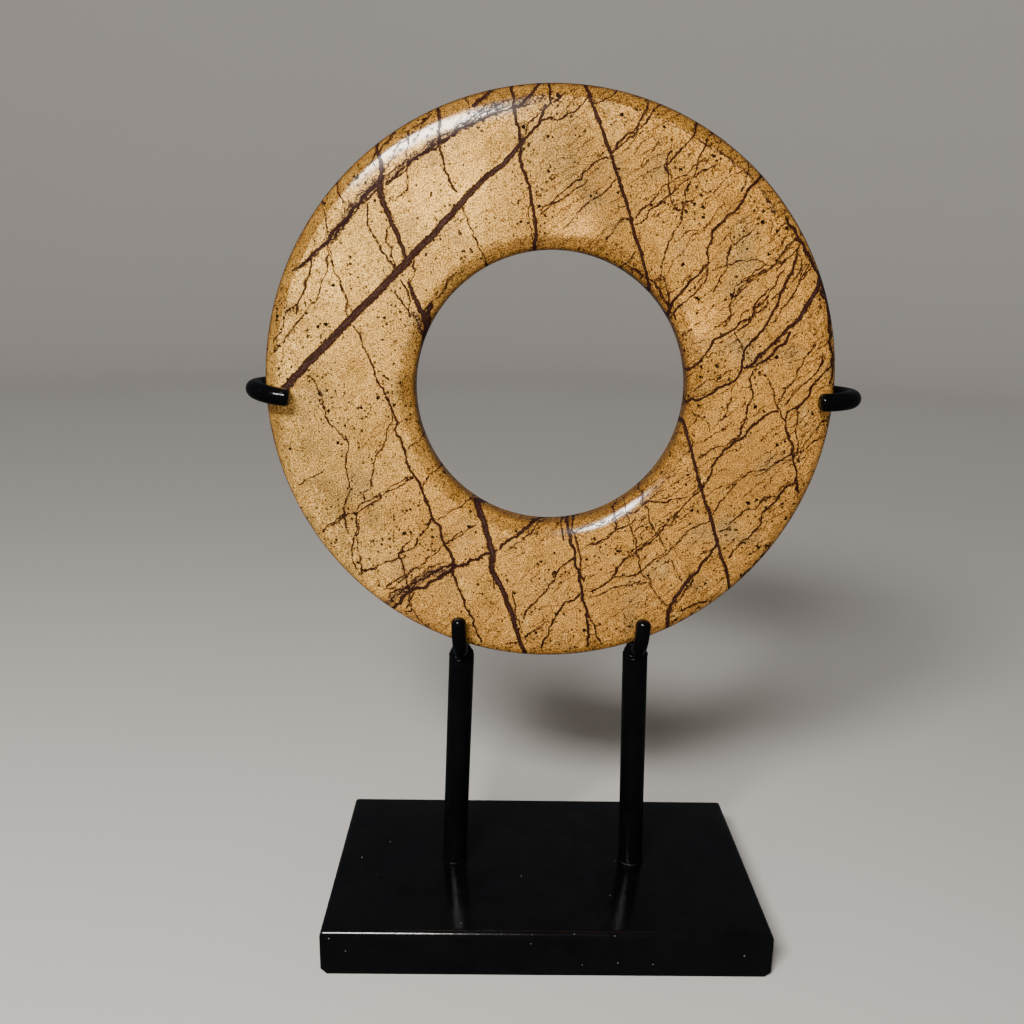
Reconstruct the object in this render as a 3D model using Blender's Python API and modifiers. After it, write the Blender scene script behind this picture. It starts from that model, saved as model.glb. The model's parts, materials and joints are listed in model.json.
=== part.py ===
"""Stone ring on a black metal stand, at its real size in metres, with +Z up.

A polished stone ring stands on edge over a box folded from sheet steel. Two round posts stand on the
box. A J-shaped rod on each post top carries the rim from below, and a rod that runs behind the ring
hooks round its left and right sides. The ring faces -Y, and left and right are as seen from the front.
The origin is on the surface that the stand rests on, under the middle of the box.
"""

import math

import bmesh
import bpy
from mathutils import Vector

MM = 0.001
LEFT = -1
RIGHT = 1

# Stone ring
RING_DIAMETER = 253 * MM
HOLE_DIAMETER = 120 * MM
RING_THICKNESS = 20 * MM
HOLE_ROUNDING = 8 * MM

# Near the rim each face falls away on a wide curve, up to the slope at which the full round takes over
FACE_CURVE = 39 * MM
FACE_FALL = math.radians(17)

# Lowest point of the ring above the box, and how far the ring sits left of the stand's middle
RING_LIFT = 112 * MM
RING_SHIFT = 2.5 * MM

# Base, a box folded from sheet and open underneath
BASE_WIDTH = 206 * MM
BASE_DEPTH = 113 * MM
BASE_HEIGHT = 22 * MM
SHEET = 2 * MM
FOLD_RADIUS = 3 * MM
CORNER_CLIP = 3 * MM

# Posts, closer together at the top than at the foot
POST_DIAMETER = 12 * MM
POST_FOOT_SPACING = 89.2 * MM
POST_TOP_SPACING = 83.2 * MM
POST_EDGE = 0.5 * MM

# Lower hooks
LOWER_ROD = 7 * MM
FINGER_HEIGHT = {LEFT: 24 * MM, RIGHT: 22.5 * MM}
FINGER_LEAN = math.radians(3)

# Rod behind the ring, with a side hook at each end
SIDE_ROD = 8 * MM
SIDE_HOOK_DROP = 1.4 * MM
SIDE_ROOM = {LEFT: 3.2 * MM, RIGHT: 1.5 * MM}
SIDE_GRIP = {LEFT: 11 * MM, RIGHT: 13 * MM}
ELBOW_RADIUS = 12 * MM
TIP_DROOP = {LEFT: 2.6 * MM, RIGHT: 0.8 * MM}

# Clearances: between pieces that touch or are welded, and between the ring's faces and the rods
JOINT_GAP = 0.3 * MM
FACE_GAP = 0.8 * MM

# Smoothness of round shapes
RING_STEPS = 96
FACE_STEPS = 2
RIM_STEPS = 8
HOLE_STEPS = 4
POST_STEPS = 28
FOLD_STEPS = 3
ARC_STEP = math.radians(11)
ROD_BEVEL_RESOLUTION = 2
MERGE_DISTANCE = 0.01 * MM
SHARP_ANGLE = math.radians(40)

# Positions that follow from the sizes above
RING_RADIUS = RING_DIAMETER / 2
HOLE_RADIUS = HOLE_DIAMETER / 2
RIM_ROUNDING = (RING_THICKNESS / 2 - FACE_CURVE * (1 - math.cos(FACE_FALL))) / math.cos(FACE_FALL)
RING_CENTRE_X = -RING_SHIFT
RING_CENTRE_Z = BASE_HEIGHT + RING_LIFT + RING_RADIUS
SIDE_HOOK_Z = RING_CENTRE_Z - SIDE_HOOK_DROP
YOKE_RADIUS = (RING_RADIUS + HOLE_RADIUS) / 2

PARTS_NAME = "stone_ring_on_stand"
CUTTERS_NAME = "cutters"


def clear_scene():
    """Remove every object that is in the file at the start."""
    for old in list(bpy.data.objects):
        bpy.data.objects.remove(old, do_unlink=True)


def new_collection(name):
    """Return a new collection in the scene."""
    collection = bpy.data.collections.new(name)
    bpy.context.scene.collection.children.link(collection)
    return collection


def new_material(name, colour, roughness):
    """Return a Principled material of one colour."""
    material = bpy.data.materials.new(name)
    material.use_nodes = True
    shader = material.node_tree.nodes["Principled BSDF"]
    shader.inputs["Base Color"].default_value = (*colour, 1.0)
    shader.inputs["Roughness"].default_value = roughness
    shader.inputs["Metallic"].default_value = 0.0
    return material


def new_object(name, data, material, collection):
    """Put data into an object of its own, with its material, in a collection."""
    piece = bpy.data.objects.new(name, data)
    if material is not None:
        data.materials.append(material)
    collection.objects.link(piece)
    return piece


def mesh_from(bm, name):
    """Turn a bmesh into a mesh and free it."""
    mesh = bpy.data.meshes.new(name)
    bm.to_mesh(mesh)
    bm.free()
    return mesh


def arc(centre, along, across, radius, start, stop):
    """Points on an arc in the plane of two unit vectors, from start to stop in radians."""
    count = max(2, round(abs(stop - start) / ARC_STEP))
    angles = (start + (stop - start) * step / count for step in range(count + 1))
    return [centre + radius * (math.cos(a) * along + math.sin(a) * across) for a in angles]


def without_repeats(points):
    """Drop each point that lies on the one before it."""
    kept = points[:1]
    for point in points[1:]:
        if (point - kept[-1]).length > MERGE_DISTANCE:
            kept.append(point)
    return kept


def bent_rod(name, points, diameter, material, collection):
    """Make a round rod with flat ends along a row of points."""
    points = without_repeats(points)
    curve = bpy.data.curves.new(name, "CURVE")
    curve.dimensions = "3D"
    curve.bevel_depth = diameter / 2
    curve.bevel_resolution = ROD_BEVEL_RESOLUTION
    curve.use_fill_caps = True
    spline = curve.splines.new("POLY")
    spline.points.add(len(points) - 1)
    for spot, point in zip(spline.points, points):
        spot.co = (*point, 1.0)
    return new_object(name, curve, material, collection)


def ring_profile():
    """Cross-section of the ring as (radius, height) pairs, running down its outer side."""
    half = RING_THICKNESS / 2
    quarter = math.pi / 2
    rim = RING_RADIUS - RIM_ROUNDING
    face = rim - (FACE_CURVE - RIM_ROUNDING) * math.sin(FACE_FALL)
    hole = HOLE_RADIUS + HOLE_ROUNDING
    bends = [
        (face, half - FACE_CURVE, FACE_CURVE, quarter, quarter - FACE_FALL, FACE_STEPS),
        (rim, 0, RIM_ROUNDING, quarter - FACE_FALL, FACE_FALL - quarter, RIM_STEPS),
        (face, FACE_CURVE - half, FACE_CURVE, FACE_FALL - quarter, -quarter, FACE_STEPS),
        (hole, HOLE_ROUNDING - half, HOLE_ROUNDING, -quarter, -2 * quarter, HOLE_STEPS),
        (hole, half - HOLE_ROUNDING, HOLE_ROUNDING, -2 * quarter, -3 * quarter, HOLE_STEPS),
    ]
    profile = []
    for centre_r, centre_z, rounding, start, stop, steps in bends:
        for step in range(steps + 1):
            angle = start + (stop - start) * step / steps
            point = Vector((centre_r + rounding * math.cos(angle), centre_z + rounding * math.sin(angle)))
            if not profile or (point - profile[-1]).length > MERGE_DISTANCE:
                profile.append(point)
    return profile


def make_ring(material, collection):
    """Turn the ring's cross-section about its axis and stand it on edge."""
    bm = bmesh.new()
    corners = [bm.verts.new((radius, 0, height)) for radius, height in ring_profile()]
    for first, second in zip(corners, corners[1:] + corners[:1]):
        bm.edges.new((first, second))
    ring = new_object("stone_ring", mesh_from(bm, "stone_ring"), material, collection)
    screw = ring.modifiers.new("turn", "SCREW")
    screw.axis = "Z"
    screw.angle = math.tau
    screw.steps = RING_STEPS
    screw.render_steps = RING_STEPS
    screw.use_merge_vertices = True
    screw.merge_threshold = MERGE_DISTANCE
    screw.use_smooth_shade = True
    ring.rotation_euler.x = math.pi / 2
    ring.location = (RING_CENTRE_X, 0, RING_CENTRE_Z)
    return ring


def make_corner_cutter(cutters):
    """Four cubes that each slice a bottom corner off the box on the slant."""
    side = 8 * CORNER_CLIP
    depth = CORNER_CLIP / math.sqrt(3)
    bm = bmesh.new()
    for side_x in (LEFT, RIGHT):
        for side_y in (-1, 1):
            outward = Vector((side_x, side_y, -1)).normalized()
            corner = Vector((side_x * BASE_WIDTH / 2, side_y * BASE_DEPTH / 2, 0))
            turn = outward.to_track_quat("Z", "Y").to_matrix().to_4x4()
            turn.translation = corner + outward * (side / 2 - depth)
            bmesh.ops.create_cube(bm, size=side, matrix=turn)
    cutter = new_object("corner_clips", mesh_from(bm, "corner_clips"), None, cutters)
    cutter.hide_render = True
    cutter.display_type = "WIRE"
    return cutter


def make_base(material, collection, cutters):
    """Fold the open-bottomed box: rounded top folds, sheet walls and clipped bottom corners."""
    bm = bmesh.new()
    bmesh.ops.create_cube(bm, size=1.0)
    bmesh.ops.scale(bm, vec=(BASE_WIDTH, BASE_DEPTH, BASE_HEIGHT), verts=bm.verts)
    bmesh.ops.translate(bm, vec=(0, 0, BASE_HEIGHT / 2), verts=bm.verts)
    bottom = [face for face in bm.faces if face.normal.z < -0.5]
    bmesh.ops.delete(bm, geom=bottom, context="FACES_ONLY")
    weight = bm.edges.layers.float.new("bevel_weight_edge")
    for edge in bm.edges:
        edge[weight] = 1.0 if min(vert.co.z for vert in edge.verts) > BASE_HEIGHT / 2 else 0.0
    base = new_object("base", mesh_from(bm, "base"), material, collection)
    folds = base.modifiers.new("folds", "BEVEL")
    folds.limit_method = "WEIGHT"
    folds.width = FOLD_RADIUS
    folds.segments = FOLD_STEPS
    walls = base.modifiers.new("sheet", "SOLIDIFY")
    walls.thickness = SHEET
    walls.offset = -1.0
    walls.use_even_offset = True
    clip = base.modifiers.new("corner clips", "BOOLEAN")
    clip.operation = "DIFFERENCE"
    clip.solver = "EXACT"
    clip.object = make_corner_cutter(cutters)
    return base


def lower_rod_height(side):
    """Height of a lower hook's rod where it touches the rim from below."""
    reach = RING_RADIUS + LOWER_ROD / 2 + JOINT_GAP
    offset = side * POST_TOP_SPACING / 2 - RING_CENTRE_X
    return RING_CENTRE_Z - math.sqrt(reach ** 2 - offset ** 2)


def make_post(name, side, material, collection):
    """Stand a round post on the box, up to the rod of its hook and leaning in a little."""
    foot_z = BASE_HEIGHT + JOINT_GAP
    top_z = lower_rod_height(side) - LOWER_ROD / 2 - JOINT_GAP
    height = top_z - foot_z
    lean_in = (POST_FOOT_SPACING - POST_TOP_SPACING) / 2
    bm = bmesh.new()
    bmesh.ops.create_cone(
        bm, cap_ends=True, segments=POST_STEPS, radius1=POST_DIAMETER / 2, radius2=POST_DIAMETER / 2, depth=height
    )
    bmesh.ops.translate(bm, vec=(0, 0, height / 2), verts=bm.verts)
    upper = [vert for vert in bm.verts if vert.co.z > height / 2]
    bmesh.ops.translate(bm, vec=(-side * lean_in, 0, 0), verts=upper)
    mesh = mesh_from(bm, name)
    mesh.shade_smooth()
    mesh.set_sharp_from_angle(angle=SHARP_ANGLE)
    post = new_object(name, mesh, material, collection)
    post.location = (side * POST_FOOT_SPACING / 2, 0, foot_z)
    edge = post.modifiers.new("edges", "BEVEL")
    edge.limit_method = "ANGLE"
    edge.width = POST_EDGE
    edge.segments = 1
    return post


def yoke_underside(offset):
    """Height of the lowest surface of the rod behind the ring, at a distance from the middle."""
    outer = YOKE_RADIUS + SIDE_ROD / 2
    return SIDE_HOOK_Z - ELBOW_RADIUS - math.sqrt(outer ** 2 - offset ** 2)


def make_lower_hook(name, side, material, collection):
    """Bend the rod on a post top: a short finger in front, under the rim, and up behind the ring."""
    rod_radius = LOWER_ROD / 2
    rod_z = lower_rod_height(side)
    hook_x = side * POST_TOP_SPACING / 2
    bend = RIM_ROUNDING + FACE_GAP + rod_radius
    bend_y = RING_THICKNESS / 2 - RIM_ROUNDING
    leg_y = bend_y + bend
    finger_z = rod_z - rod_radius + FINGER_HEIGHT[side]
    leg_z = yoke_underside(abs(hook_x) - rod_radius) - JOINT_GAP
    back = Vector((0, 1, 0))
    up = Vector((0, 0, 1))
    points = [Vector((hook_x, -leg_y, finger_z))]
    points += arc(Vector((hook_x, -bend_y, rod_z + bend)), back, up, bend, math.pi, math.pi * 1.5)
    points += arc(Vector((hook_x, bend_y, rod_z + bend)), back, up, bend, -math.pi / 2, 0)
    points.append(Vector((hook_x, leg_y, leg_z)))
    for point in points:
        if point.y < 0:
            point.x += side * math.tan(FINGER_LEAN) * (point.z - rod_z)
    return bent_rod(name, points, LOWER_ROD, material, collection)


def side_hook_path(side):
    """Centre line of one side hook, from its front tip round the rim and in to the elbow."""
    arm_y = RING_THICKNESS / 2 + FACE_GAP + SIDE_ROD / 2
    bend_x = RING_RADIUS + SIDE_ROOM[side] + SIDE_ROD / 2 - arm_y
    tip_x = RING_RADIUS - SIDE_GRIP[side]
    reach = bend_x + arm_y - tip_x
    outward = Vector((side, 0, 0))
    back = Vector((0, 1, 0))
    up = Vector((0, 0, 1))
    tip = Vector((side * tip_x, -arm_y, SIDE_HOOK_Z))
    loop = arc(Vector((side * bend_x, 0, SIDE_HOOK_Z)), outward, back, arm_y, -math.pi / 2, math.pi / 2)
    elbow_centre = Vector((side * (YOKE_RADIUS + ELBOW_RADIUS), arm_y, SIDE_HOOK_Z - ELBOW_RADIUS))
    elbow = arc(elbow_centre, outward, up, ELBOW_RADIUS, math.pi / 2, math.pi)
    for point in [tip] + loop:
        if point.y < 0:
            point.z -= TIP_DROOP[side] * (1 - (abs(point.x) - tip_x) / reach)
    return [tip] + loop + elbow


def make_back_yoke(material, collection):
    """Bend the rod behind the ring: a half circle under the middle and a hook round each side."""
    left = side_hook_path(LEFT)
    right = side_hook_path(RIGHT)
    centre = Vector((0, left[-1].y, SIDE_HOOK_Z - ELBOW_RADIUS))
    half_circle = arc(centre, Vector((-1, 0, 0)), Vector((0, 0, -1)), YOKE_RADIUS, 0, math.pi)
    return bent_rod("back_yoke", left + half_circle + right[::-1], SIDE_ROD, material, collection)


def main():
    """Build the whole part."""
    clear_scene()
    parts = new_collection(PARTS_NAME)
    cutters = new_collection(CUTTERS_NAME)
    stone = new_material("veined_stone", (0.55, 0.31, 0.11), 0.2)
    enamel = new_material("black_enamel", (0.01, 0.01, 0.012), 0.28)
    make_base(enamel, parts, cutters)
    for side, word in ((LEFT, "left"), (RIGHT, "right")):
        make_post("post_" + word, side, enamel, parts)
        make_lower_hook("lower_hook_" + word, side, enamel, parts)
    make_back_yoke(enamel, parts)
    make_ring(stone, parts)


main()
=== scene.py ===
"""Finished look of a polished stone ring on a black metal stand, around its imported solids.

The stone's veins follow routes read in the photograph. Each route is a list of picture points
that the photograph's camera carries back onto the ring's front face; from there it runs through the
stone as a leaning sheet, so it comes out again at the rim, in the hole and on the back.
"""

import json
import logging
import math
from dataclasses import dataclass, field, replace
from enum import Enum

import bmesh
import bpy
import numpy as np
from bpy.types import NodeSocket
from mathutils import Matrix, Vector

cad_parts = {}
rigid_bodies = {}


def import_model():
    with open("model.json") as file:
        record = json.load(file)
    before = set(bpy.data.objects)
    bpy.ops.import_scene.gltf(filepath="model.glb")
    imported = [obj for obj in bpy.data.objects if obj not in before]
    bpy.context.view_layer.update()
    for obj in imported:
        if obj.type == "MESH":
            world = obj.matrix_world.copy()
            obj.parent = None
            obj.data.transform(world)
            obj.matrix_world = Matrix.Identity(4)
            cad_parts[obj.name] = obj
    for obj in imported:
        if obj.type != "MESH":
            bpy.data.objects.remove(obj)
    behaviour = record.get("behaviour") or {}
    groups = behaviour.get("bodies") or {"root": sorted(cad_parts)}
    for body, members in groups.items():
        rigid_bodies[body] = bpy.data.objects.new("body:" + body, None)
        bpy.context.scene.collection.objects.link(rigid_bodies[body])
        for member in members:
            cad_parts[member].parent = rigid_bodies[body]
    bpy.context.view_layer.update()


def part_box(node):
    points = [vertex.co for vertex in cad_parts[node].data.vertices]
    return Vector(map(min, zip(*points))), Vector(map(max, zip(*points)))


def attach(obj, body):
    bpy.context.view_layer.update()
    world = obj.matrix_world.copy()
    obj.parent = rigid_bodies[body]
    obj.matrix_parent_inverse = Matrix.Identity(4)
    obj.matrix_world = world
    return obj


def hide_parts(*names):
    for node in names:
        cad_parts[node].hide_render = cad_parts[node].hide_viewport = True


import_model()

LOG = logging.getLogger("stone_ring_on_stand")
MM = 0.001
PER_MM = 1000.0
PATCHES = "cloud_patches"
BODY = "root"
FLOOR = "studio_floor"
X_AXIS = Vector((1.0, 0.0, 0.0))
Y_AXIS = Vector((0.0, 1.0, 0.0))
Z_AXIS = Vector((0.0, 0.0, 1.0))

Pixel = tuple[float, float]
Triple = tuple[float, float, float]
Colour = Triple


class Side(Enum):
    """A side of the stand, as seen from the front, with the sign of its X."""

    LEFT = -1
    RIGHT = 1


class Slot(Enum):
    """Material slots of the record."""

    STONE = "veined_stone"
    ENAMEL = "black_enamel"


class VeinKind(Enum):
    """How a vein fills its width: one solid line or a bundle of fine strands."""

    SOLID = "solid"
    FRAYED = "frayed"


@dataclass(frozen=True)
class PhotoCamera:
    """The photograph's camera, fitted to the edges of the base, the posts and the ring."""

    focal_px: float = 947.0
    frame_px: float = 1024.0
    sensor_mm: float = 36.0
    nearest: float = 0.01
    place: Triple = (-0.0254, -0.4232, 0.3112)
    pitch: float = math.radians(14.26)
    yaw: float = math.radians(0.90)
    roll: float = math.radians(1.07)

    def axes(self) -> tuple[Vector, Vector, Vector]:
        """Unit vectors to the right, up and forward of the camera."""
        forward = Vector(
            (
                math.sin(self.yaw) * math.cos(self.pitch),
                math.cos(self.yaw) * math.cos(self.pitch),
                -math.sin(self.pitch),
            )
        )
        level = Vector((math.cos(self.yaw), -math.sin(self.yaw), 0.0))
        upright = level.cross(forward)
        right = level * math.cos(self.roll) + upright * math.sin(self.roll)
        up = upright * math.cos(self.roll) - level * math.sin(self.roll)
        return right, up, forward

    def onto_face(self, pixel: Pixel, face_y: float) -> tuple[float, float]:
        """Carry a picture point back onto an upright plane.

        Args:
            pixel: column and row in the photograph.
            face_y: Y of the plane in metres.

        Returns:
            X and Z on the plane in metres.
        """
        right, up, forward = self.axes()
        middle = self.frame_px / 2
        ray = forward * self.focal_px + right * (pixel[0] - middle) - up * (pixel[1] - middle)
        eye = Vector(self.place)
        hit = eye + ray * ((face_y - eye.y) / ray.y)
        return hit.x, hit.z

    def set_up(self) -> None:
        """Create the camera and make it the scene's."""
        right, up, forward = self.axes()
        data = bpy.data.cameras.new("photo_camera")
        data.sensor_fit = "HORIZONTAL"
        data.sensor_width = self.sensor_mm
        data.lens = self.sensor_mm * self.focal_px / self.frame_px
        data.clip_start = self.nearest
        camera = bpy.data.objects.new("photo_camera", data)
        turn = Matrix((right, up, -forward)).transposed().to_4x4()
        camera.matrix_world = Matrix.Translation(self.place) @ turn
        bpy.context.scene.collection.objects.link(camera)
        bpy.context.scene.camera = camera


class NodeTree:
    """Short calls that lay out the nodes of one tree."""

    def __init__(self, tree: bpy.types.NodeTree) -> None:
        """Take up a tree."""
        self.tree = tree

    def add(self, kind: str, inputs: dict | None = None, **settings: object) -> bpy.types.Node:
        """Add a node.

        Args:
            kind: node type.
            inputs: values or sockets by input name or number.
            settings: properties of the node.

        Returns:
            The new node.
        """
        node = self.tree.nodes.new(kind)
        for key, value in settings.items():
            setattr(node, key, value)
        for key, value in (inputs or {}).items():
            self.feed(node.inputs[key], value)
        return node

    def feed(self, socket: NodeSocket, value: object) -> None:
        """Link a socket to an input, or set the input's own value.

        Args:
            socket: the input.
            value: another node's output socket, or a plain value.
        """
        if isinstance(value, NodeSocket):
            self.tree.links.new(value, socket)
        elif socket.type == "RGBA" and len(value) == 3:
            socket.default_value = (*value, 1.0)
        else:
            socket.default_value = value

    def math(self, operation: str, first: object, second: object = 0.0) -> NodeSocket:
        """Add a Math node and return its result."""
        return self.add("ShaderNodeMath", {0: first, 1: second}, operation=operation).outputs[0]

    def plus(self, first: object, second: object) -> NodeSocket:
        """Add two values."""
        return self.math("ADD", first, second)

    def minus(self, first: object, second: object) -> NodeSocket:
        """Take the second value from the first."""
        return self.math("SUBTRACT", first, second)

    def times(self, first: object, second: object) -> NodeSocket:
        """Multiply two values."""
        return self.math("MULTIPLY", first, second)

    def over(self, first: object, second: object) -> NodeSocket:
        """Divide the first value by the second."""
        return self.math("DIVIDE", first, second)

    def swing(self, value: object, middle: float, factor: object) -> NodeSocket:
        """Take a middle from a value and multiply what is left by a factor."""
        return self.times(self.minus(value, middle), factor)

    def scaled(self, vector: object, factor: object) -> NodeSocket:
        """Scale a vector by a number or a socket and return the result."""
        return self.add("ShaderNodeVectorMath", {0: vector, "Scale": factor}, operation="SCALE").outputs[0]


class ShaderTree(NodeTree):
    """Short calls that lay out the nodes of one material."""

    def __init__(self, name: str) -> None:
        """Start an empty material."""
        self.material = bpy.data.materials.new(name)
        self.material.use_nodes = True
        super().__init__(self.material.node_tree)
        self.tree.nodes.clear()

    def most(self, *values: NodeSocket) -> NodeSocket:
        """Largest of several values."""
        largest, *others = values
        for other in others:
            largest = self.math("MAXIMUM", largest, other)
        return largest

    def vector(self, operation: str, first: object, second: object = (0.0, 0.0, 0.0)) -> NodeSocket:
        """Add a Vector Math node of two vectors and return its vector output."""
        return self.add("ShaderNodeVectorMath", {0: first, 1: second}, operation=operation).outputs[0]

    def dot(self, vector: object, way: Triple) -> NodeSocket:
        """Length of a vector along a unit vector, or its dot product with any other."""
        inputs = {0: vector, 1: way}
        return self.add("ShaderNodeVectorMath", inputs, operation="DOT_PRODUCT").outputs["Value"]

    def split(self, vector: object) -> tuple[NodeSocket, ...]:
        """Split a vector into X, Y and Z."""
        return tuple(self.add("ShaderNodeSeparateXYZ", {0: vector}).outputs)

    def attribute(self, name: str) -> tuple[NodeSocket, ...]:
        """Read a vector attribute of the mesh and split it."""
        return self.split(self.add("ShaderNodeAttribute", attribute_name=name).outputs["Vector"])

    def noise(
        self, vector: object, scale: float, detail: float = 2.0, roughness: float = 0.5, output: int = 0
    ) -> NodeSocket:
        """Add a Noise texture and return its value, which swings around 0.5, or its colour as output 1."""
        inputs = {"Vector": vector, "Scale": scale, "Detail": detail, "Roughness": roughness}
        return self.add("ShaderNodeTexNoise", inputs).outputs[output]

    def bent(
        self,
        place: NodeSocket,
        reach: float,
        scale: float,
        detail: float = 2.0,
        roughness: float = 0.5,
        middle: float = 0.0,
    ) -> NodeSocket:
        """Push a place about by reach times a noise less its middle value."""
        push = self.noise(place, scale, detail, roughness, output=1)
        push = self.vector("SUBTRACT", push, (middle,) * 3)
        return self.vector("ADD", place, self.scaled(push, reach))

    def remap(
        self,
        value: object,
        low: object,
        high: object,
        to_low: object = 0.0,
        to_high: object = 1.0,
        soft: bool = False,
    ) -> NodeSocket:
        """Map a value's range onto another, held at its ends and eased in and out if soft."""
        kind = "SMOOTHSTEP" if soft else "LINEAR"
        inputs = {0: value, 1: low, 2: high, 3: to_low, 4: to_high}
        return self.add("ShaderNodeMapRange", inputs, interpolation_type=kind).outputs[0]

    def mix(self, factor: object, first: object, second: object, blend: str = "MIX") -> NodeSocket:
        """Mix two colours by the share of the second and return the result."""
        inputs = {0: factor, 6: first, 7: second}
        return self.add("ShaderNodeMix", inputs, data_type="RGBA", blend_type=blend).outputs[2]

    def bump(self, height: object, strength: float, distance: float, normal: object = None) -> NodeSocket:
        """Turn a height into a normal.

        Args:
            height: height's socket.
            strength: share of the full effect.
            distance: height in metres that a value of 1 stands for.
            normal: normal to start from.

        Returns:
            The normal's socket.
        """
        inputs = {"Height": height, "Strength": strength, "Distance": distance}
        if normal is not None:
            inputs["Normal"] = normal
        return self.add("ShaderNodeBump", inputs).outputs[0]

    def surface(
        self, colour: object, rough: object, shine: object, normal: object = None
    ) -> bpy.types.Material:
        """End the tree in a Principled shader, whose specular level is shine, and return the material."""
        inputs = {"Base Color": colour, "Roughness": rough, "Specular IOR Level": shine}
        if normal is not None:
            inputs["Normal"] = normal
        shader = self.add("ShaderNodeBsdfPrincipled", inputs)
        self.add("ShaderNodeOutputMaterial", {0: shader.outputs[0]})
        return self.material


class GeometryTree(NodeTree):
    """A Geometry Nodes tree with named inputs for its sizes."""

    def __init__(self, name: str) -> None:
        """Start a tree that takes and gives one geometry."""
        super().__init__(bpy.data.node_groups.new(name, "GeometryNodeTree"))
        for way in ("INPUT", "OUTPUT"):
            self.tree.interface.new_socket("Geometry", in_out=way, socket_type="NodeSocketGeometry")
        self.start = self.tree.nodes.new("NodeGroupInput")
        self.end = self.tree.nodes.new("NodeGroupOutput")

    def size(self, name: str, kind: str = "Float") -> NodeSocket:
        """Add a named input, of a type such as Float or Int, and return its socket inside the tree."""
        self.tree.interface.new_socket(name, in_out="INPUT", socket_type="NodeSocket" + kind)
        return self.start.outputs[name]

    def guide(self) -> NodeSocket:
        """Turn the guide mesh into a curve."""
        return self.add("GeometryNodeMeshToCurve", {"Mesh": self.start.outputs["Geometry"]}).outputs[0]

    def disc(self, resolution: object, radius: object) -> NodeSocket:
        """Add a circle and return its curve."""
        inputs = {"Resolution": resolution, "Radius": radius}
        return self.add("GeometryNodeCurvePrimitiveCircle", inputs).outputs[0]

    def tube(
        self, line: NodeSocket, share: NodeSocket, diameter: NodeSocket, sides: object, capped: bool
    ) -> NodeSocket:
        """Sweep a round section along a line.

        Args:
            line: the line's curve.
            share: share of the full diameter at each point.
            diameter: full diameter.
            sides: faces around the tube.
            capped: close its ends.

        Returns:
            The tube's mesh.
        """
        sized = self.add("GeometryNodeSetCurveRadius", {"Curve": line, "Radius": share}).outputs[0]
        inputs = {
            "Curve": sized,
            "Profile Curve": self.disc(sides, self.over(diameter, 2.0)),
            "Fill Caps": capped,
        }
        swept = self.add("GeometryNodeCurveToMesh", inputs)
        if "Scale" in swept.inputs:
            self.feed(swept.inputs["Scale"], self.add("GeometryNodeInputRadius").outputs[0])
        return swept.outputs[0]

    def finish(self, mesh: NodeSocket) -> None:
        """End the tree in smooth shading, Realize Instances and Set Material.

        Args:
            mesh: the mesh to give out.
        """
        material = self.size("Material", "Material")
        smooth = self.add("GeometryNodeSetShadeSmooth", {0: mesh, "Shade Smooth": True}).outputs[0]
        real = self.add("GeometryNodeRealizeInstances", {"Geometry": smooth}).outputs[0]
        dressed = self.add("GeometryNodeSetMaterial", {"Geometry": real, "Material": material}).outputs[0]
        self.feed(self.end.inputs[0], dressed)

    def make(self, name: str, guide: bpy.types.Mesh, sizes: dict[str, object]) -> bpy.types.Mesh:
        """Run the tree on a guide mesh and keep the result as a plain mesh.

        Args:
            name: name of the new mesh.
            guide: mesh that the tree starts from.
            sizes: value of each named input.

        Returns:
            The plain mesh, with its faces pointing outwards.
        """
        carrier = bpy.data.objects.new(name + "_guide", guide)
        bpy.context.scene.collection.objects.link(carrier)
        modifier = carrier.modifiers.new(name, "NODES")
        modifier.node_group = self.tree
        for item in self.tree.interface.items_tree:
            if item.in_out == "INPUT" and item.name in sizes:
                modifier[item.identifier] = sizes[item.name]
        seen = carrier.evaluated_get(bpy.context.evaluated_depsgraph_get())
        mesh = bpy.data.meshes.new_from_object(seen)
        mesh.name = name
        bpy.data.objects.remove(carrier, do_unlink=True)
        face_outwards(mesh)
        return mesh


def face_outwards(mesh: bpy.types.Mesh) -> None:
    """Turn a closed mesh's faces outwards if they point in.

    Args:
        mesh: the mesh, changed in place.
    """
    bm = bmesh.new()
    bm.from_mesh(mesh)
    if bm.calc_volume(signed=True) < 0:
        bmesh.ops.reverse_faces(bm, faces=bm.faces)
        bm.to_mesh(mesh)
    bm.free()


def guide_line(name: str, points: list[Vector], closed: bool = False) -> bpy.types.Mesh:
    """Make a row of points into a mesh of edges.

    Args:
        name: name of the mesh.
        points: the points in order.
        closed: join the last point to the first.

    Returns:
        The mesh.
    """
    mesh = bpy.data.meshes.new(name)
    edges = [(i, i + 1) for i in range(len(points) - 1)]
    if closed:
        edges.append((len(points) - 1, 0))
    mesh.from_pydata([tuple(point) for point in points], edges, [])
    return mesh


def arc(
    centre: Vector, along: Vector, across: Vector, radius: float, start: float, stop: float, step: float
) -> list[Vector]:
    """Points on an arc.

    Args:
        centre: centre of the arc.
        along: unit vector at angle 0.
        across: unit vector at a quarter turn.
        radius: radius in metres.
        start: first angle in radians.
        stop: last angle in radians.
        step: largest distance between points in metres.

    Returns:
        The points in order.
    """
    count = max(3, math.ceil(abs(stop - start) * radius / step))
    angles = [start + (stop - start) * i / count for i in range(count + 1)]
    return [centre + radius * (math.cos(a) * along + math.sin(a) * across) for a in angles]


def stretch(start: Vector, stop: Vector, count: int) -> list[Vector]:
    """Points that part a straight stretch into equal lengths, with its start and without its stop."""
    return [start.lerp(stop, i / count) for i in range(count)]


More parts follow.
